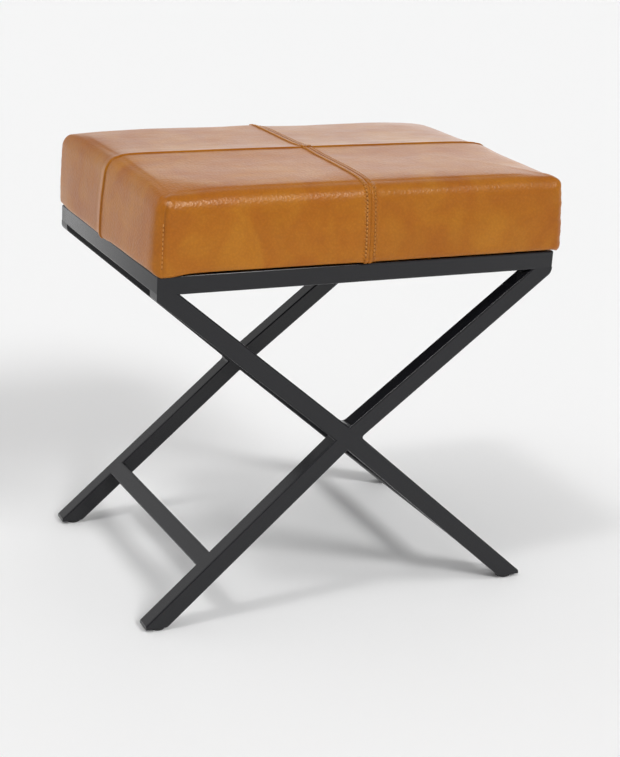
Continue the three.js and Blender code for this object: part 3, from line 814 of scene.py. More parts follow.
@dataclass(frozen=True)
class Crease:
    """A soft groove or ridge beside a line: its width, height and middle in millimetres, and its painted
    shade.
    """

    width: float
    height: float = 0.0
    shade: float = 0.0
    middle: float = 0.0

    def press(self, surface: Surface, distance: np.ndarray, share: np.ndarray | float = 1.0) -> None:
        """Presses the crease into a surface, with its painted shade.

        Args:
            surface: the cover's vertices.
            distance: how far each is from the line.
            share: how much of the crease each gets.
        """
        shape = share * bell(distance - self.middle, self.width)
        surface.depth += self.height * shape
        surface.shade += self.shade * shape


@dataclass(frozen=True)
class Sewing:
    """The cover's seams, creases and hem, with lengths in millimetres and painted shades as shares of the
    hide's.
    """

    # Each long seam is a groove with painted shade in it.
    seam: Crease = Crease(width=0.75, height=-0.8, shade=-0.16)
    # The plain seam's allowance is pressed to the back, as a low step that shows most on the sides.
    # Its groove gets painted shade and the step a band of painted highlight, both strongest on the sides.
    plain_seam_painted_shade: Crease = Crease(width=0.75, shade=-0.12)
    plain_seam_shade_easing: Crease = Crease(width=0.75, shade=0.08)
    step_height: float = 1.5
    step_end: float = 13.0
    step_slope: float = 12.0
    step_painted_highlight: Crease = Crease(width=5.0, shade=0.16, middle=6.0)
    top_share: float = 0.35
    top_starts: float = 9.0
    # The leather between the two stitch rows stands up.
    ridge_height: float = 0.8
    ridge_middle: float = 0.4
    ridge_half: float = 5.6
    ridge_edge: float = 0.45
    # Each stitch row is sunk, with painted shade along it.
    row: Crease = Crease(width=0.8, height=-0.45, shade=-0.18)
    pull_width: float = 2.2
    # The upright corner seams fade in under the roll and fade out over the hem.
    side_starts: float = 6.0
    side_fade: float = 8.0
    corner_seam: Crease = Crease(width=0.8, height=-0.8)
    corner_lip: Crease = Crease(width=1.4, height=0.4, middle=2.4)
    corner_hem_fade: float = 10.0
    corner_least: float = 0.2
    # Painted shade in the corner seams' grooves, weaker towards the hem.
    corner_shade: Crease = Crease(width=0.8, shade=-0.34)
    shade_starts: float = 25.0
    shade_least: float = 0.25
    ear_width: float = 4.5
    ear_middle: float = 3.0
    ear_height: float = 6.0
    pucker_reach: float = 9.0
    ripple_height: float = 0.07
    # The hem's edge gets a painted highlight for the floor it mirrors, and hangs lowest at the seams.
    hem_floor: float = 0.5
    hem_painted_highlight: Crease = Crease(width=2.0, shade=0.12, middle=1.5)
    hang: float = 0.9
    hang_at_seams: float = 0.9
    seam_hang_width: float = 6.0
    hang_in_front: float = 1.3
    front_hang_middle: float = -10.0
    front_hang_width: float = 10.0
    corner_hang_width: float = 7.0
    # How much wider a corner hangs for each millimetre over the usual: at the front or back, and the side.
    usual_hang: float = 2.2
    hang_spread: tuple[float, float] = (3.2, 0.8)
    hang_height: float = 20.0
    hang_power: float = 1.5
    under_edge: float = 4.0
    under_fade: float = 3.0
    shade_limits: tuple[float, float] = (0.25, 1.3)


# A light leather that stretches little, pushed out by the foam alone.
CLOTH = {
    "quality": 5,
    "mass": 0.3,
    "tension_stiffness": 40.0,
    "compression_stiffness": 40.0,
    "shear_stiffness": 20.0,
    "bending_stiffness": 2.0,
    "use_pressure": True,
    "uniform_pressure_force": 4.0,
    "pin_stiffness": 1.0,
}


@dataclass(frozen=True)
class Swelling:
    """How the panels swell under the foam's pressure and where their sewing holds them, in millimetres."""

    frames: int = 20
    cap: float = 2.0
    corner_hold_width: float = 4.0
    hem_hold: float = 4.0
    least_hold: float = 0.02
    even_rounds: int = 60
    even_keep: float = 0.4


@dataclass
class Cushion:
    """The sewn seat: four leather panels over a crowned foam block."""

    half_x: float = 234.5
    half_y: float = 161.0
    bottom: float = 393.0
    edge_height: float = 83.0
    crown: float = 0.8
    corner_drop_power: float = 8.0
    corner: float = 9.0
    corner_steps: int = 4
    roll: float = 12.0
    roll_fall: float = 17.0
    roll_start_degrees: float = 4.0
    roll_steps: int = 7
    side_steps: int = 10
    hem_roll: float = 5.5
    hem_width: float = 26.0
    hem_steps: int = 3
    side_draw: float = 1.6
    hem_draw: float = 0.4
    seam_draw: float = -1.0
    seam_rise: tuple[float, float] = (0.8, 2.0)
    seam_spread: float = 30.0
    flare_top: float = -1.2
    flare_foot: float = 0.9
    flare_zone: float = 40.0
    flare_power: float = 1.2
    # How a corner's flare shares itself out across and along the stool.
    flare_way: tuple[float, float] = (1.0, 0.3)
    stitch_rows: tuple[float, float] = (-4.4, 5.2)
    stitch_weights: tuple[float, float] = (1.35, 0.85)
    stitch_pitch: float = 4.2
    stitch_above_hem: float = 1.0
    corner_row_below_roll: float = 18.0
    guide_step: float = 1.0
    guide_bends: int = 12
    probe_outside: float = 14.0
    probe_length: float = 40.0
    tangent_reach: float = 0.4
    cell: float = 6.5
    # Grid lines beside a seam, where the grooves need them close.
    seam_lines: tuple[float, ...] = (0.0, 1.0, 2.1, 3.3, 4.6, 6.2, 8.4, 11.5, 16.0)
    core_inset: float = 3.4
    core_rise: float = 14.1
    merge_mm: float = 0.002
    sewing: Sewing = Sewing()
    swelling: Swelling = Swelling()
    habits: dict[str, CornerHabit] = field(
        default_factory=lambda: {
            "front_left": CornerHabit(
                drop=3.5, lift=-2.6, roundness=15.0, seam_shift=7.5, ear=1.2,
                stitch_back=1.0, stitch_weight=1.0, hang=5.0, tone=1.02,
            ),
            "front_right": CornerHabit(
                drop=0.2, lift=-2.6, flare=2.6, seam_shift=-6.0, ear=2.4, pucker=0.6, tone=0.98
            ),
            "back_left": CornerHabit(drop=3.0, lift=1.6, flare=-2.6, seam_shift=6.0, tone=0.98),
            "back_right": CornerHabit(drop=3.0, lift=1.2, roundness=12.0, seam_shift=-6.0, tone=0.92),
        }
    )

    @property
    def edge(self) -> float:
        """Height of the top's edge."""
        return self.bottom + self.edge_height

    @property
    def side_top(self) -> float:
        """Height where the sides end and the roll starts."""
        return self.edge - self.roll

    def quarters(self, co: np.ndarray) -> Iterator[tuple[CornerHabit, np.ndarray]]:
        """Each corner's habit, and which points lie in its quarter."""
        for corner, (sx, sy) in CORNERS.items():
            yield self.habits[corner], (co[:, 0] * sx > 0) & (co[:, 1] * sy > 0)

    def seam_fade(self, distance: np.ndarray) -> np.ndarray:
        """How much of the seam's ridge is left at a distance from it."""
        return bell(distance, self.seam_spread)

    def shares(self, half: float) -> np.ndarray:
        """Shares along a half side where grid lines run: close beside the seam and round the corner.

        Args:
            half: half the seat's size along this side.

        Returns:
            Shares from nought at the seam to one at the corner's middle.
        """
        near = list(self.seam_lines)
        straight = half - self.corner
        count = max(int((straight - near[-1]) / self.cell), 2)
        far = list(np.linspace(near[-1], straight, count + 1)[1:])
        arc = self.corner * math.pi / 4
        bend = [straight + arc * k / self.corner_steps for k in range(1, self.corner_steps + 1)]
        return np.array(near + far + bend) / (straight + arc)

    def outline(
        self, share: np.ndarray, inwards: float, half: float, other: float
    ) -> tuple[np.ndarray, np.ndarray]:
        """Points of the plan outline from a seam to the middle of the corner.

        Args:
            share: how far along, from the seam at nought to the corner's middle at one.
            inwards: the outline's distance inside the seat's widest outline.
            half: half the seat's size along this side.
            other: half its size the other way.

        Returns:
            Distances along the side and across it.
        """
        arc_radius = max(self.corner - inwards, 0.0)
        straight = half - inwards - arc_radius
        length = straight + arc_radius * math.pi / 4
        run = share * length
        angle = np.clip(run - straight, 0.0, None) / max(arc_radius, 1e-6)
        along = np.minimum(run, straight) + arc_radius * np.sin(angle) * (run > straight)
        across = other - inwards - arc_radius * (1 - np.cos(angle)) * (run > straight)
        return along, across

    def drawn(self, along: np.ndarray, half: float) -> np.ndarray:
        """How far a side is pulled in between the corners, less the ridge at its seam."""
        between = 1 - np.clip(along / half, 0, 1) ** 2
        return self.side_draw * between + self.seam_draw * self.seam_fade(along)

    def rim(self, inwards: float, draw: float) -> np.ndarray:
        """One row of plan points round a quarter, from one seam over the corner to the other.

        Args:
            inwards: the row's distance inside the seat's widest outline.
            draw: the share of the sides' draw that the row has.

        Returns:
            The row's points, across and along the stool.
        """
        share_x, share_y = self.shares(self.half_x), self.shares(self.half_y)
        x1, y1 = self.outline(share_x, inwards, self.half_x, self.half_y)
        y1 = y1 - draw * self.drawn(x1, self.half_x)
        y2, x2 = self.outline(share_y, inwards, self.half_y, self.half_x)
        x2 = x2 - draw * self.drawn(y2, self.half_y)
        corner = (np.array([x1[-1], y1[-1]]) + np.array([x2[-1], y2[-1]])) / 2
        first = np.stack([x1[:-1], y1[:-1]], axis=1)
        second = np.stack([x2[:-1], y2[:-1]], axis=1)[::-1]
        return np.vstack([first, corner[None, :], second])

    def height(self, x: np.ndarray, y: np.ndarray, habit: CornerHabit) -> np.ndarray:
        """Height of the seat's top: its crown, its dropped corner and its seams.

        Args:
            x: places across the stool.
            y: places along its depth.
            habit: how this quarter's corner is sewn.

        Returns:
            Heights over the floor.
        """
        top_x, top_y = self.half_x - self.roll, self.half_y - self.roll
        share_x = np.clip(np.abs(x) / top_x, 0, 1)
        share_y = np.clip(np.abs(y) / top_y, 0, 1)
        crown = self.crown * (1 - share_x**3) * (1 - share_y**2)
        fall = habit.drop * (share_x * share_y) ** self.corner_drop_power
        seams = np.maximum(self.seam_rise[0] * self.seam_fade(x), self.seam_rise[1] * self.seam_fade(y))
        return self.edge + habit.lift * share_y**2 + crown - fall + seams

    def side_rows(self, rim: np.ndarray, habit: CornerHabit) -> list[np.ndarray]:
        """Rows of vertices from the top's rim over the roll, down the side and under the hem.

        Args:
            rim: the plan points of the top's rim.
            habit: how this quarter's corner is sewn.

        Returns:
            The points of each row, from the top down.
        """
        rows = []
        rim_z = self.height(rim[:, 0], rim[:, 1], habit)
        start = math.radians(self.roll_start_degrees)
        for step in range(1, self.roll_steps + 1):
            angle = start + (math.pi / 2 - start) * step / self.roll_steps
            inwards = self.roll * (1 - (math.sin(angle) - math.sin(start)) / (1 - math.sin(start)))
            fall = self.roll_fall * (1 - math.cos(angle) / math.cos(start))
            rows.append(np.column_stack([self.rim(inwards, 1.0), rim_z - fall]))
        foot = self.bottom + self.hem_roll
        roll_foot = rim_z - self.roll_fall
        for step in range(1, self.side_steps + 1):
            share = step / self.side_steps
            draw = 1 + (self.hem_draw - 1) * share
            rows.append(np.column_stack([self.rim(0.0, draw), roll_foot + (foot - roll_foot) * share]))
        for step in range(1, self.hem_steps + 1):
            angle = math.pi / 2 * step / self.hem_steps
            inwards = self.hem_roll * (1 - math.cos(angle))
            z_row = np.full(len(rim), foot - self.hem_roll * math.sin(angle))
            rows.append(np.column_stack([self.rim(inwards, self.hem_draw), z_row]))
        for share in (0.5, 1.0):
            inwards = self.hem_roll + (self.hem_width - self.hem_roll) * share
            rows.append(np.column_stack([self.rim(inwards, 0.0), np.full(len(rim), self.bottom)]))
        return rows

    def quarter(
        self, inset: float, floor: float | None, habit: CornerHabit
    ) -> tuple[np.ndarray, list[tuple[int, ...]]]:
        """One quarter of the seat's skin.

        Args:
            inset: how far the skin lies under the leather's face.
            floor: where a closed core stops, or nothing for the leather with its hem.
            habit: how this quarter's corner is sewn.

        Returns:
            Vertices in millimetres and faces.
        """
        share_x, share_y = self.shares(self.half_x), self.shares(self.half_y)
        n, m = len(share_x), len(share_y)
        rim = self.rim(self.roll, 1.0)
        up, right = rim[:n], rim[n - 1 :][::-1]
        s, t = share_x[:, None, None], share_y[None, :, None]
        base = np.stack([up[:, 0] * right[0, 0] / up[-1, 0], np.zeros(n)], axis=1)[:, None, :]
        left = np.stack([np.zeros(m), right[:, 1] * up[0, 1] / right[-1, 1]], axis=1)[None, :, :]
        u, v = up[:, None, :], right[None, :, :]
        corners = s * (1 - t) * base[-1] + (1 - s) * t * left[:, -1:, :] + s * t * up[-1]
        plan = (1 - t) * base + t * u + (1 - s) * left + s * v - corners
        z = self.height(plan[..., 0], plan[..., 1], habit)
        vertices = [np.dstack([plan, z]).reshape(-1, 3), *self.side_rows(rim, habit)]
        faces = []
        for i in range(n - 1):
            for j in range(m - 1):
                faces.append((i * m + j, (i + 1) * m + j, (i + 1) * m + j + 1, i * m + j + 1))
        previous = [i * m + m - 1 for i in range(n)] + [(n - 1) * m + j for j in range(m - 2, -1, -1)]
        offset = n * m
        for row in vertices[1:]:
            current = list(range(offset, offset + len(row)))
            for p in range(len(row) - 1):
                faces.append((previous[p], previous[p + 1], current[p + 1], current[p]))
            previous = current
            offset += len(row)
        points = self.shaped(np.vstack(vertices), habit)
        if inset > 0:
            scale_x = (self.half_x - inset) / self.half_x
            scale_y = (self.half_y - inset) / self.half_y
            points = points * np.array([scale_x, scale_y, 1.0]) - np.array([0.0, 0.0, inset])
        if floor is not None:
            points[:, 2] = np.maximum(points[:, 2], floor)
        return points, faces

    def shaped(self, points: np.ndarray, habit: CornerHabit) -> np.ndarray:
        """Flares a quarter's sides towards the hem and rounds its upright corner.

        Args:
            points: the quarter's vertices.
            habit: how this quarter's corner is sewn.

        Returns:
            The moved vertices.
        """
        half = np.array([self.half_x, self.half_y])
        fall = np.clip((self.edge - points[:, 2]) / self.edge_height, 0.0, 1.0)
        near_side = np.clip((points[:, :2] - half + self.flare_zone) / self.flare_zone, 0.0, 1.0) ** 2
        near_corner = near_side[:, 0] ** 0.5 * near_side[:, 1] ** 0.5
        flare = self.flare_top + (self.flare_foot - self.flare_top) * fall
        points[:, :2] += near_side * flare[:, None]
        corner_flare = near_corner * habit.flare * fall**self.flare_power
        points[:, :2] += corner_flare[:, None] * np.array(self.flare_way)
        if habit.roundness > self.corner:
            inner = half - habit.roundness
            reach = points[:, :2] - inner
            inside = (reach > 0).all(axis=1)
            angle = np.arctan2(reach[inside, 1], reach[inside, 0])
            square = habit.roundness / np.maximum(np.cos(angle), np.sin(angle))
            c, r = self.corner, habit.roundness
            offset = (r - c) * (np.cos(angle) + np.sin(angle))
            sharp = offset + np.sqrt(np.maximum(offset**2 - 2 * (r - c) ** 2 + c**2, 0.0))
            present = np.minimum(square, sharp)
            points[inside, :2] = inner + reach[inside] * (r / present)[:, None]
        return points

    def skin(self, name: str, inset: float, floor: float | None) -> bpy.types.Object:
        """Joins the four quarters into one skin.

        Args:
            name: the piece's name.
            inset: how far the skin lies under the leather's face.
            floor: where a closed core stops, or nothing for the leather with its hem.

        Returns:
            The piece.
        """
        bm = bmesh.new()
        for corner, (sx, sy) in CORNERS.items():
            points, faces = self.quarter(inset, floor, self.habits[corner])
            placed = points * np.array([sx, sy, 1.0])
            verts = [bm.verts.new(tuple(p * MM)) for p in placed]
            for face in faces:
                order = face if sx * sy > 0 else tuple(reversed(face))
                bm.faces.new([verts[k] for k in order])
        bmesh.ops.remove_doubles(bm, verts=bm.verts[:], dist=self.merge_mm * MM)
        mesh = bpy.data.meshes.new(name)
        bm.to_mesh(mesh)
        bm.free()
        return mesh_to_object(name, mesh, SMOOTH_DEGREES)

    @staticmethod
    def vectors(mesh: bpy.types.Mesh, kind: str) -> np.ndarray:
        """Reads one vector for each vertex of a mesh.

        Args:
            mesh: the mesh.
            kind: co for places in metres, or normal.

        Returns:
            The vectors, one in each row.
        """
        values = np.empty(len(mesh.vertices) * 3)
        mesh.vertices.foreach_get(kind, values)
        return values.reshape(-1, 3)

    @staticmethod
    def place_vertices(mesh: bpy.types.Mesh, co: np.ndarray) -> None:
        """Moves a mesh's vertices to places in millimetres."""
        mesh.vertices.foreach_set("co", (co * MM).ravel())
        mesh.update()

    def corner_distance(self, co: np.ndarray) -> np.ndarray:
        """How far points are from the upright seam at the nearest corner.

        Args:
            co: points in millimetres.

        Returns:
            Distances, positive towards the front or back.
        """
        distance = (np.abs(co[:, 1]) - self.half_y) - (np.abs(co[:, 0]) - self.half_x)
        for habit, here in self.quarters(co):
            distance -= here * habit.seam_shift
        return distance / math.sqrt(2)

    def rim_distance(self, co: np.ndarray) -> np.ndarray:
        """How far points are outside the seat's plan outline with its rounded corners.

        Args:
            co: points in millimetres.

        Returns:
            Distances, negative inside the outline.
        """
        across, along = np.abs(co[:, 0]) - self.half_x, np.abs(co[:, 1]) - self.half_y
        rim = np.maximum(across, along)
        for habit, here in self.quarters(co):
            x, y = across + habit.roundness, along + habit.roundness
            rim = np.where(here & (x > 0) & (y > 0), np.hypot(x, y) - habit.roundness, rim)
        return rim

    def swell(self, obj: bpy.types.Object) -> None:
        """Lets the cover swell between its hem and its corner seams under the foam's pressure, up to a cap.

        Args:
            obj: the leather skin, at rest.
        """
        swelling = self.swelling
        co = self.vectors(obj.data, "co") / MM
        hold = bell(self.corner_distance(co), swelling.corner_hold_width) * (co[:, 2] < self.side_top)
        on_hem = co[:, 2] < self.bottom + self.hem_roll + swelling.hem_hold
        hold = np.where(on_hem, 1.0, np.clip(hold, swelling.least_hold, 1.0))
        group = obj.vertex_groups.new(name="sewn")
        for index, weight in enumerate(hold):
            group.add([index], float(weight), "REPLACE")
        cloth = obj.modifiers.new("swell", "CLOTH")
        settings = cloth.settings
        for name, value in CLOTH.items():
            setattr(settings, name, value)
        settings.vertex_group_mass = group.name
        settings.effector_weights.gravity = 0.0
        cloth.point_cache.frame_start = 1
        cloth.point_cache.frame_end = swelling.frames
        scene = bpy.context.scene
        for number in range(1, swelling.frames + 1):
            scene.frame_set(number)
        shaped = obj.evaluated_get(bpy.context.evaluated_depsgraph_get())
        moved = self.evened(obj.data, self.vectors(shaped.data, "co") / MM - co)
        reach = np.linalg.norm(moved, axis=1, keepdims=True)
        capped = swelling.cap * np.tanh(reach / swelling.cap)
        obj.modifiers.remove(cloth)
        obj.vertex_groups.remove(group)
        scene.frame_set(1)
        self.place_vertices(obj.data, co + moved * capped / np.maximum(reach, 1e-9))
        log.info("the panels swelled by %.2f mm at most", float(capped.max()))

    def evened(self, mesh: bpy.types.Mesh, moves: np.ndarray) -> np.ndarray:
        """Averages each vertex's move with its neighbours', so that the swelling has no small folds.

        Args:
            mesh: the mesh whose edges say which vertices are neighbours.
            moves: each vertex's move.

        Returns:
            The evened moves.
        """
        ends = np.empty(len(mesh.edges) * 2, dtype=np.int64)
        mesh.edges.foreach_get("vertices", ends)
        first, second = ends.reshape(-1, 2).T
        count = np.bincount(ends, minlength=len(moves))[:, None]
        keep = self.swelling.even_keep
        for _ in range(self.swelling.even_rounds):
            total = np.zeros_like(moves)
            np.add.at(total, first, moves[second])
            np.add.at(total, second, moves[first])
            moves = keep * moves + (1 - keep) * total / count
        return moves

    def refine(self, obj: bpy.types.Object) -> None:
        """Splits every face in four along a smooth surface.

        Args:
            obj: the leather skin.
        """
        smooth = obj.modifiers.new("refine", "SUBSURF")
        smooth.levels = 1
        smooth.render_levels = 1
        smooth.boundary_smooth = "PRESERVE_CORNERS"
        graph = bpy.context.evaluated_depsgraph_get()
        mesh = bpy.data.meshes.new_from_object(obj.evaluated_get(graph))
        obj.modifiers.remove(smooth)
        old = obj.data
        obj.data = mesh
        mesh.name = obj.name
        bpy.data.meshes.remove(old)

    def press_seams(self, surface: Surface) -> None:
        """Sinks the long seams and stitch rows with painted shade, and raises the leather beside them.

        Args:
            surface: the cover's vertices.
        """
        sewing = self.sewing
        x, y, z = surface.co.T
        # The long seams' grooves, with painted shade.
        sewing.seam.press(surface, x)
        sewing.seam.press(surface, y)
        slope = np.clip((sewing.step_end - y) / sewing.step_slope, 0.0, 1.0)
        surface.depth += sewing.step_height * slope * (y > 0.0)
        # Painted highlight on the step and painted shade in the plain seam's groove, strongest on the upright
        # sides.
        upright = np.where(z < self.edge - sewing.top_starts, 1.0, sewing.top_share)
        sewing.step_painted_highlight.press(surface, y, upright)
        sewing.plain_seam_painted_shade.press(surface, y, upright)
        sewing.plain_seam_shade_easing.press(surface, y)
        past_ridge = (np.abs(x - sewing.ridge_middle) - sewing.ridge_half) / sewing.ridge_edge
        surface.depth += sewing.ridge_height / (1 + np.exp(past_ridge))
        # Each stitch row sinks and gets painted shade along it.
        for row in self.stitch_rows:
            sewing.row.press(surface, x - row)
            surface.pull = np.maximum(surface.pull, bell(x - row, sewing.pull_width))

    def crease_corners(self, surface: Surface) -> None:
        """Sinks the upright corner seams with painted shade, ears and puckers, and paints each panel's shade.

        Args:
            surface: the cover's vertices.
        """
        sewing = self.sewing
        x, _, z = surface.co.T
        corner = self.corner_distance(surface.co)
        on_side = np.clip((self.side_top + sewing.side_starts - z) / sewing.side_fade, 0.0, 1.0)
        above_hem = np.clip((z - self.bottom) / sewing.corner_hem_fade, sewing.corner_least, 1.0)
        sewing.corner_seam.press(surface, corner, on_side * above_hem)
        sewing.corner_lip.press(surface, np.abs(corner), on_side * above_hem)
        # Painted shade in the corner seam's groove, weaker towards the hem.
        high = (z - self.bottom - sewing.shade_starts) / sewing.shade_starts
        sewing.corner_shade.press(surface, corner, on_side * np.clip(high, sewing.shade_least, 1.0))
        peak = bell(corner, sewing.ear_width) * bell(z - self.side_top - sewing.ear_middle, sewing.ear_height)
        near_corner = np.exp(-np.abs(corner) / sewing.pucker_reach) * on_side
        # Two crossing waves, about 15 mm and 37 mm long.
        puckers = np.sin(z * 0.42 + corner * 0.25) * np.sin(z * 0.17 + x * 0.02)
        # Each panel's tone is painted shade for how much of the room it mirrors.
        for habit, here in self.quarters(surface.co):
            surface.depth += here * (habit.ear * peak + habit.pucker * near_corner * puckers)
            surface.shade *= np.where(here, habit.tone, 1.0)

    def hem_hang(self, co: np.ndarray, corner: np.ndarray) -> np.ndarray:
        """How far the hem hangs over the rails.

        Args:
            co: vertices in millimetres.
            corner: their distances from the nearest upright seam.

        Returns:
            Each vertex's drop.
        """
        sewing = self.sewing
        from_seam = np.abs(co[:, :2]).min(axis=1)
        hang = sewing.hang + sewing.hang_at_seams * bell(from_seam, sewing.seam_hang_width)
        hang += sewing.hang_in_front * bell(co[:, 1] - sewing.front_hang_middle, sewing.front_hang_width)
        spread = np.where(corner > 0.0, *sewing.hang_spread)
        for habit, here in self.quarters(co):
            width = sewing.corner_hang_width + (habit.hang - sewing.usual_hang) * spread
            hang += here * habit.hang * bell(corner, width)
        low = np.clip((self.bottom + sewing.hang_height - co[:, 2]) / sewing.hang_height, 0.0, 1.0)
        outside = np.clip((self.rim_distance(co) + sewing.under_edge) / sewing.under_fade, 0.0, 1.0)
        return hang * low**sewing.hang_power * outside

    def sew(self, obj: bpy.types.Object) -> None:
        """Presses seams, rows and creases into the cover, hangs its hem and stores its painted light and
        shade.

        Args:
            obj: the leather skin, refined.
        """
        sewing = self.sewing
        mesh = obj.data
        co = self.vectors(mesh, "co") / MM
        surface = Surface(co)
        self.press_seams(surface)
        self.crease_corners(surface)
        above = co[:, 2] - self.bottom
        # Painted highlight along the hem's edge, for the floor it mirrors.
        sewing.hem_painted_highlight.press(surface, above)
        depth = surface.depth + sewing.ripple_height * surface.ripples()
        corner = self.corner_distance(co)
        co = co + self.vectors(mesh, "normal") * np.where(above < sewing.hem_floor, 0.0, depth)[:, None]
        co[:, 2] -= self.hem_hang(co, corner)
        self.place_vertices(mesh, co)
        shade = np.clip(surface.shade, *sewing.shade_limits)
        for name, values in (("painted_shade_and_highlight", shade), ("stitch_pull", surface.pull)):
            layer = mesh.attributes.new(name, "FLOAT", "POINT")
            layer.data.foreach_set("value", values)

    def long_row(self, x: float) -> list[tuple[Vector, Vector]]:
        """The guide line of one row beside the long seam, up the front, over the top and down the back.

        Args:
            x: the row's place across the stool.

        Returns:
            Points, each with its outward direction.
        """
        foot = self.bottom + self.hem_roll + self.stitch_above_hem
        row = [(Vector((x, -self.half_y, z)), -BACK) for z in np.arange(foot, self.side_top, self.guide_step)]
        bends = {}
        for sign in (-1.0, 1.0):
            bends[sign] = []
            for step in range(self.guide_bends):
                angle = math.pi / 2 * step / self.guide_bends
                out = Vector((0.0, sign * math.cos(angle), math.sin(angle)))
                y = sign * (self.half_y - self.roll * (1 - math.cos(angle)))
                bends[sign].append((Vector((x, y, self.edge - self.roll * (1 - math.sin(angle)))), out))
        row += bends[-1.0]
        flat = self.half_y - self.roll
        row += [(Vector((x, y, self.edge)), UP) for y in np.arange(-flat, flat, self.guide_step)]
        row += bends[1.0][::-1]
        down = np.arange(self.side_top, foot, -self.guide_step)
        return row + [(Vector((x, self.half_y, z)), BACK) for z in down]

    def corner_row(self, corner: str) -> list[tuple[Vector, Vector]]:
        """The guide line of the row beside one upright corner seam.

        Args:
            corner: the corner's name.

        Returns:
            Points, each with its outward direction.
        """
        sx, sy = CORNERS[corner]
        habit = self.habits[corner]
        turn = math.pi / 4 + math.asin(habit.seam_shift / (habit.roundness * math.sqrt(2)))
        out = Vector((sx * math.cos(turn), sy * math.sin(turn), 0.0))
        back = Vector((sx * math.sin(turn), -sy * math.cos(turn), 0.0))
        middle = Vector((sx * (self.half_x - habit.roundness), sy * (self.half_y - habit.roundness), 0.0))
        place = middle + out * habit.roundness + back * habit.stitch_back
        foot = self.bottom + self.hem_roll + self.stitch_above_hem
        heights = np.arange(foot, self.side_top - self.corner_row_below_roll, self.guide_step)
        return [(place + UP * z, out) for z in heights]

    def paths(self) -> list[tuple[float, list[tuple[Vector, Vector]]]]:
        """Every stitch row's guide line, each after its thread's weight."""
        rows = [(weight, self.long_row(x)) for x, weight in zip(self.stitch_rows, self.stitch_weights)]
        return rows + [(self.habits[corner].stitch_weight, self.corner_row(corner)) for corner in CORNERS]

    def beads(self, leather: bpy.types.Object, bead: Bead, finish: bpy.types.Material) -> bpy.types.Object:
        """Lays one bead for each stitch along every row.

        Args:
            leather: the sewn skin that the beads lie on.
            bead: the thread's form, or the flat form of the needle holes' painted shade.
            finish: its finish.

        Returns:
            All the beads as one piece.
        """
        bm = bmesh.new()
        bm.from_mesh(leather.data)
        tree = BVHTree.FromBMesh(bm)
        bm.free()
        vertices: list[Vector] = []
        faces: list[tuple[int, ...]] = []
        for weight, row in self.paths():
            hits = []
            for point, out in row:
                start = (point + out * self.probe_outside) * MM
                place, normal, _, _ = tree.ray_cast(start, -out, self.probe_length * MM)
                if place is not None:
                    hits.append((place / MM, normal))
            self.lay_row(hits, bead, weight, vertices, faces)
        obj = dress(mesh_object(bead.name, vertices, faces, SMOOTH_DEGREES), finish)
        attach(obj, BODY)
        return obj

    @staticmethod
    def along_row(
        hits: list[tuple[Vector, Vector]], lengths: list[float], distance: float
    ) -> tuple[Vector, Vector]:
        """The place on a row at a distance from its start.

        Args:
            hits: the row's points on the leather, each with its outward direction.
            lengths: each point's own distance from the start.
            distance: how far along the place is.

        Returns:
            The place and its outward direction.
        """
        k = int(np.searchsorted(lengths, distance, side="right")) - 1
        k = max(0, min(k, len(hits) - 2))
        (here, normal), (there, next_normal) = hits[k], hits[k + 1]
        share = (distance - lengths[k]) / max(lengths[k + 1] - lengths[k], 1e-6)
        return here.lerp(there, share), normal.lerp(next_normal, share).normalized()

    def lay_row(
        self,
        hits: list[tuple[Vector, Vector]],
        bead: Bead,
        weight: float,
        vertices: list[Vector],
        faces: list[tuple[int, ...]],
    ) -> None:
        """Adds one row's beads along points on the leather.

        Args:
            hits: the row's points, each with its outward direction.
            bead: the form that repeats.
            weight: how much thicker than usual it is.
            vertices: grows by the beads' points, in millimetres.
            faces: grows by their faces.
        """
        if len(hits) < 3:
            return
        lengths = [0.0]
        for (a, _), (b, _) in zip(hits, hits[1:]):
            lengths.append(lengths[-1] + (b - a).length)
        count = int(lengths[-1] / self.stitch_pitch)
        sides = bead.sides
        for index in range(count):
            start = (index + bead.start) * lengths[-1] / count
            length = self.stitch_pitch * bead.length
            first = len(vertices)
            for share, radius, lift in bead.rings:
                distance = start + share * length
                place, normal = self.along_row(hits, lengths, distance)
                ahead, _ = self.along_row(hits, lengths, distance + self.tangent_reach)
                behind, _ = self.along_row(hits, lengths, distance - self.tangent_reach)
                across = (ahead - behind).normalized().cross(normal).normalized()
                middle = place + normal * lift * weight
                for k in range(sides):
                    angle = 2 * math.pi / sides * k
                    rise = radius * weight * bead.thickness * math.sin(angle)
                    vertices.append(middle + across * (radius * weight * math.cos(angle)) + normal * rise)
            for ring in range(len(bead.rings) - 1):
                for k in range(sides):
                    a = first + ring * sides + k
                    b = first + ring * sides + (k + 1) % sides
                    faces.append((a, b, b + sides, a + sides))
            faces.append(tuple(first + k for k in reversed(range(sides))))
            last = first + sides * (len(bead.rings) - 1)
            faces.append(tuple(last + k for k in range(sides)))

    def build(self, leather: bpy.types.Material, foam: bpy.types.Material) -> list[bpy.types.Object]:
        """Makes the sewn cover, its stitching and the foam inside.

        Args:
            leather: the cover's finish.
            foam: the foam's finish.

        Returns:
            The cover, the threads, the needle holes' painted shade and the foam.
        """
        cover = self.skin("leather_cover", 0.0, None)
        self.swell(cover)
        self.refine(cover)
        self.sew(cover)
        cover.data.shade_smooth()
        dress(cover, leather)
        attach(cover, BODY)
        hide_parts(*(f"{corner}_leather_panel" for corner in CORNERS))
        threads = self.beads(cover, STITCH, THREAD.material())
        hole_shades = self.beads(cover, NEEDLE_HOLE_SHADE, HOLE_SHADE.material())
        core = self.skin("foam_core", self.core_inset, self.bottom + self.core_rise)
        dress(core, foam)
        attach(core, BODY)
        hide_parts("foam_block")
        return [cover, threads, hole_shades, core]


# Feet and hardware


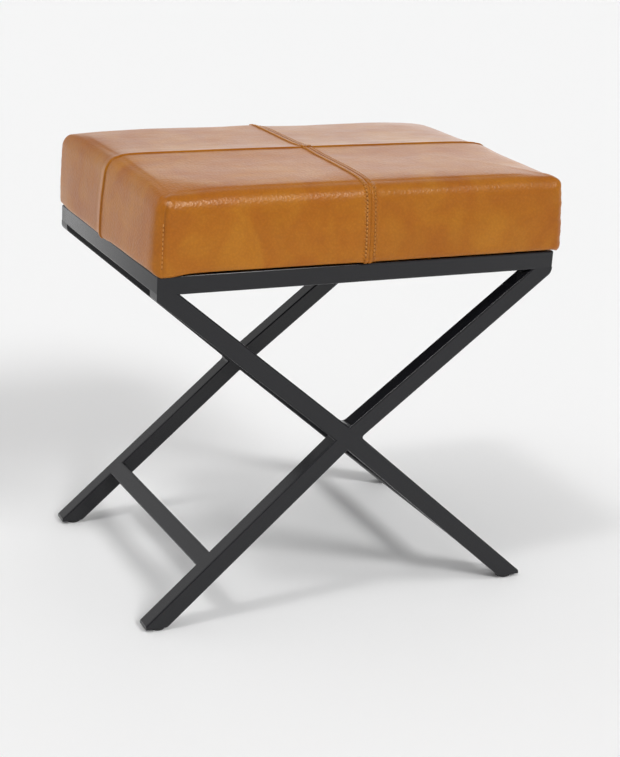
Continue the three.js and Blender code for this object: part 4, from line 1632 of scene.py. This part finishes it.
@dataclass
class GlidePad:
    """The moulded foot of a levelling glide, turned at a finer step than its solid."""

    radius: float = 8.5
    height: float = 3.2
    pocket_radius: float = 5.4
    pocket_floor: float = 1.5
    foot_round: float = 0.9
    foot_steps: int = 5
    rim_round: float = 0.5
    rim_steps: int = 4
    steps: int = 64
    sharp_degrees: float = 40.0
    merge_mm: float = 0.0001

    def profile(self) -> list[tuple[float, float]]:
        """The pad's section.

        Returns:
            Radii and heights from the middle underneath round to the middle of the pocket.
        """
        foot, rim = self.foot_round, self.rim_round
        points = [(0.0, 0.0), (self.radius - foot, 0.0)]
        for step in range(1, self.foot_steps + 1):
            angle = math.pi / 2 * step / self.foot_steps
            points.append((self.radius - foot + foot * math.sin(angle), foot - foot * math.cos(angle)))
        for step in range(self.rim_steps + 1):
            angle = math.pi / 2 * step / self.rim_steps
            across, up = rim * math.cos(angle), rim * math.sin(angle)
            points.append((self.radius - rim + across, self.height - rim + up))
        points += [(self.pocket_radius, self.height), (self.pocket_radius, self.pocket_floor)]
        return points + [(0.0, self.pocket_floor)]

    def build(self, corner: str, x: float, y: float, nylon: bpy.types.Material) -> bpy.types.Object:
        """Turns the pad at a place on the floor.

        Args:
            corner: the stool corner it stands under.
            x: its place across the stool.
            y: its place along the stool's depth.
            nylon: its finish.

        Returns:
            The pad, riding on its own body.
        """
        vertices, faces = [], []
        outline = self.profile()
        for step in range(self.steps):
            angle = 2 * math.pi * step / self.steps
            for radius, height in outline:
                vertices.append((x + radius * math.cos(angle), y + radius * math.sin(angle), height))
        count = len(outline)
        for step in range(self.steps):
            here, there = step * count, (step + 1) % self.steps * count
            for k in range(count - 1):
                faces.append((here + k, there + k, there + k + 1, here + k + 1))
        obj = mesh_object(f"{corner}_foot_pad", vertices, faces, self.sharp_degrees)
        bm = bmesh.new()
        bm.from_mesh(obj.data)
        bmesh.ops.remove_doubles(bm, verts=bm.verts[:], dist=self.merge_mm * MM)
        bmesh.ops.recalc_face_normals(bm, faces=bm.faces[:])
        bm.to_mesh(obj.data)
        bm.free()
        dress(obj, nylon)
        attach(obj, f"{corner}_pad")
        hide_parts(f"{corner}_glide_pad")
        return obj


@dataclass
class Hardware:
    """The glide pads, and the solids that keep their own shape."""

    glide_x: float = 214.5
    glide_y: float = 147.0

    def build(self, materials: dict[str, bpy.types.Material]) -> list[bpy.types.Object]:
        """Makes the pads and dresses every solid by its material slot.

        Args:
            materials: finished materials by the record's slot name.

        Returns:
            The pads.
        """
        slots = {part["node"]: part["material_slot"] for part in frame["record"]["subparts"]}
        for name, obj in frame["nodes"].items():
            dress(obj, materials[slots[name]])
        pads = []
        for corner, (sx, sy) in CORNERS.items():
            place = (sx * self.glide_x, sy * self.glide_y)
            pads.append(GlidePad().build(corner, *place, materials["black_nylon"]))
        return pads


# The studio


@dataclass(frozen=True)
class SoftPanel:
    """A lit patch of the studio dome, fading from its inner to its outer angle."""

    aim: tuple[float, float, float]
    inner_degrees: float
    outer_degrees: float
    strength: float


@dataclass
class Studio:
    """A pale floor under a dome of soft light, and the camera."""

    camera_mm: tuple[float, float, float] = (-795.507, -1644.327, 836.272)
    yaw: float = -24.632
    pitch: float = -18.934
    roll: float = 3.075
    focal_pixels: float = 1676.7
    shift_pixels: float = 50.0
    picture_height: float = 757.0
    sensor_mm: float = 36.0
    near_metres: float = 0.05
    far_metres: float = 100.0
    floor_half: float = 14.0
    floor_colour: str = "#FAFAFA"
    floor_roughness: float = 0.9
    ambient: float = 0.465
    panels: tuple[SoftPanel, ...] = (
        # The bright wall behind, which the top of the seat mirrors.
        SoftPanel((0.62, 0.78, 0.07), 6.0, 32.0, 1.20),
        # The ceiling panel over the left side.
        SoftPanel((-0.45, -0.15, 0.88), 5.0, 16.0, 2.2),
        # Its lamp, which draws the tubes' thin bright edges.
        SoftPanel((-0.42, -0.18, 0.88), 2.0, 5.0, 26.0),
        # The window side.
        SoftPanel((-0.78, 0.58, 0.18), 15.0, 50.0, 0.50),
        # The small strong lamp in front, right of the camera.
        SoftPanel((0.24, -0.75, 0.62), 5.0, 10.0, 22.0),
        # The fill light low in front.
        SoftPanel((0.30, -0.90, 0.30), 15.0, 45.0, 0.10),
    )
    # The dark end of the room, behind the camera.
    camera_end: SoftPanel = SoftPanel((-0.35, -0.90, 0.25), 20.0, 65.0, -0.12)

    def camera(self) -> bpy.types.Object:
        """Places the camera where the photograph was taken from.

        Returns:
            The camera.
        """
        yaw, pitch, roll = (math.radians(a) for a in (self.yaw, self.pitch, self.roll))
        ahead = Vector((-math.sin(yaw) * math.cos(pitch), math.cos(yaw) * math.cos(pitch), math.sin(pitch)))
        level = Vector((math.cos(yaw), math.sin(yaw), 0.0))
        upright = level.cross(ahead)
        right = level * math.cos(roll) + upright * math.sin(roll)
        up = -level * math.sin(roll) + upright * math.cos(roll)
        data = bpy.data.cameras.new("photo_camera")
        data.sensor_width = self.sensor_mm
        data.sensor_height = self.sensor_mm
        data.lens = self.focal_pixels * self.sensor_mm / self.picture_height
        data.shift_x = self.shift_pixels / self.picture_height
        data.clip_start = self.near_metres
        data.clip_end = self.far_metres
        camera = bpy.data.objects.new("photo_camera", data)
        bpy.context.collection.objects.link(camera)
        turn = Matrix((right, up, -ahead)).transposed().to_4x4()
        camera.matrix_world = Matrix.Translation(Vector(self.camera_mm) * MM) @ turn
        bpy.context.scene.camera = camera
        return camera

    def floor(self) -> bpy.types.Object:
        """Lays the plain floor.

        Returns:
            The floor.
        """
        h = self.floor_half / MM
        obj = mesh_object("floor", [(-h, -h, 0), (h, -h, 0), (h, h, 0), (-h, h, 0)], [(0, 1, 2, 3)])
        material = bpy.data.materials.new("plain_floor")
        material.use_nodes = True
        shader = material.node_tree.nodes["Principled BSDF"]
        shader.inputs["Base Color"].default_value = hex_to_linear(self.floor_colour)
        shader.inputs["Roughness"].default_value = self.floor_roughness
        shader.inputs["Specular IOR Level"].default_value = 0.0
        dress(obj, material)
        return obj

    def light(self) -> None:
        """Paints the studio dome with its panels and sets the picture's plain tones."""
        world = bpy.data.worlds.new("studio")
        bpy.context.scene.world = world
        world.use_nodes = True
        tree = world.node_tree
        way = add_node(tree, "TexCoord").outputs["Generated"]
        total = None
        for panel in (*self.panels, self.camera_end):
            aim = Vector(panel.aim).normalized()
            facing = add_node(tree, "VectorMath", {"operation": "DOT_PRODUCT"}, {"Vector": way})
            facing.inputs[1].default_value = aim
            glow = add_node(
                tree,
                "MapRange",
                {
                    "interpolation_type": "SMOOTHSTEP",
                    "From Min": math.cos(math.radians(panel.outer_degrees)),
                    "From Max": math.cos(math.radians(panel.inner_degrees)),
                    "To Min": 0.0 if total else self.ambient,
                    "To Max": panel.strength + (0.0 if total else self.ambient),
                },
                {"Value": facing.outputs["Value"]},
            ).outputs["Result"]
            if total:
                added = add_node(tree, "Math", {"operation": "ADD"})
                tree.links.new(total, added.inputs[0])
                tree.links.new(glow, added.inputs[1])
                glow = added.outputs["Value"]
            total = glow
        background = tree.nodes["Background"]
        background.inputs["Color"].default_value = hex_to_linear("#FFFFFF")
        tree.links.new(total, background.inputs["Strength"])
        view = bpy.context.scene.view_settings
        view.view_transform = "Standard"
        view.look = "None"
        view.exposure = 0.0
        view.gamma = 1.0

    def build(self) -> None:
        """Sets up camera, floor and light."""
        self.camera()
        self.floor()
        self.light()


def main() -> None:
    """Builds the stool's pieces in order and reports each one."""
    logging.basicConfig(level=logging.INFO, format="%(name)s: %(message)s")
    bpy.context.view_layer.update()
    materials = {finish.name: finish.value.material() for finish in Finish}
    Studio().build()
    pieces = Hardware().build(materials)
    pieces += TubeFrame().build(materials["powder_coated_steel"])
    pieces += Cushion().build(materials["tan_leather"], materials["seat_foam"])
    for piece in pieces:
        log.info("%s has %d faces", piece.name, len(piece.data.polygons))


if __name__ == "__main__":
    main()
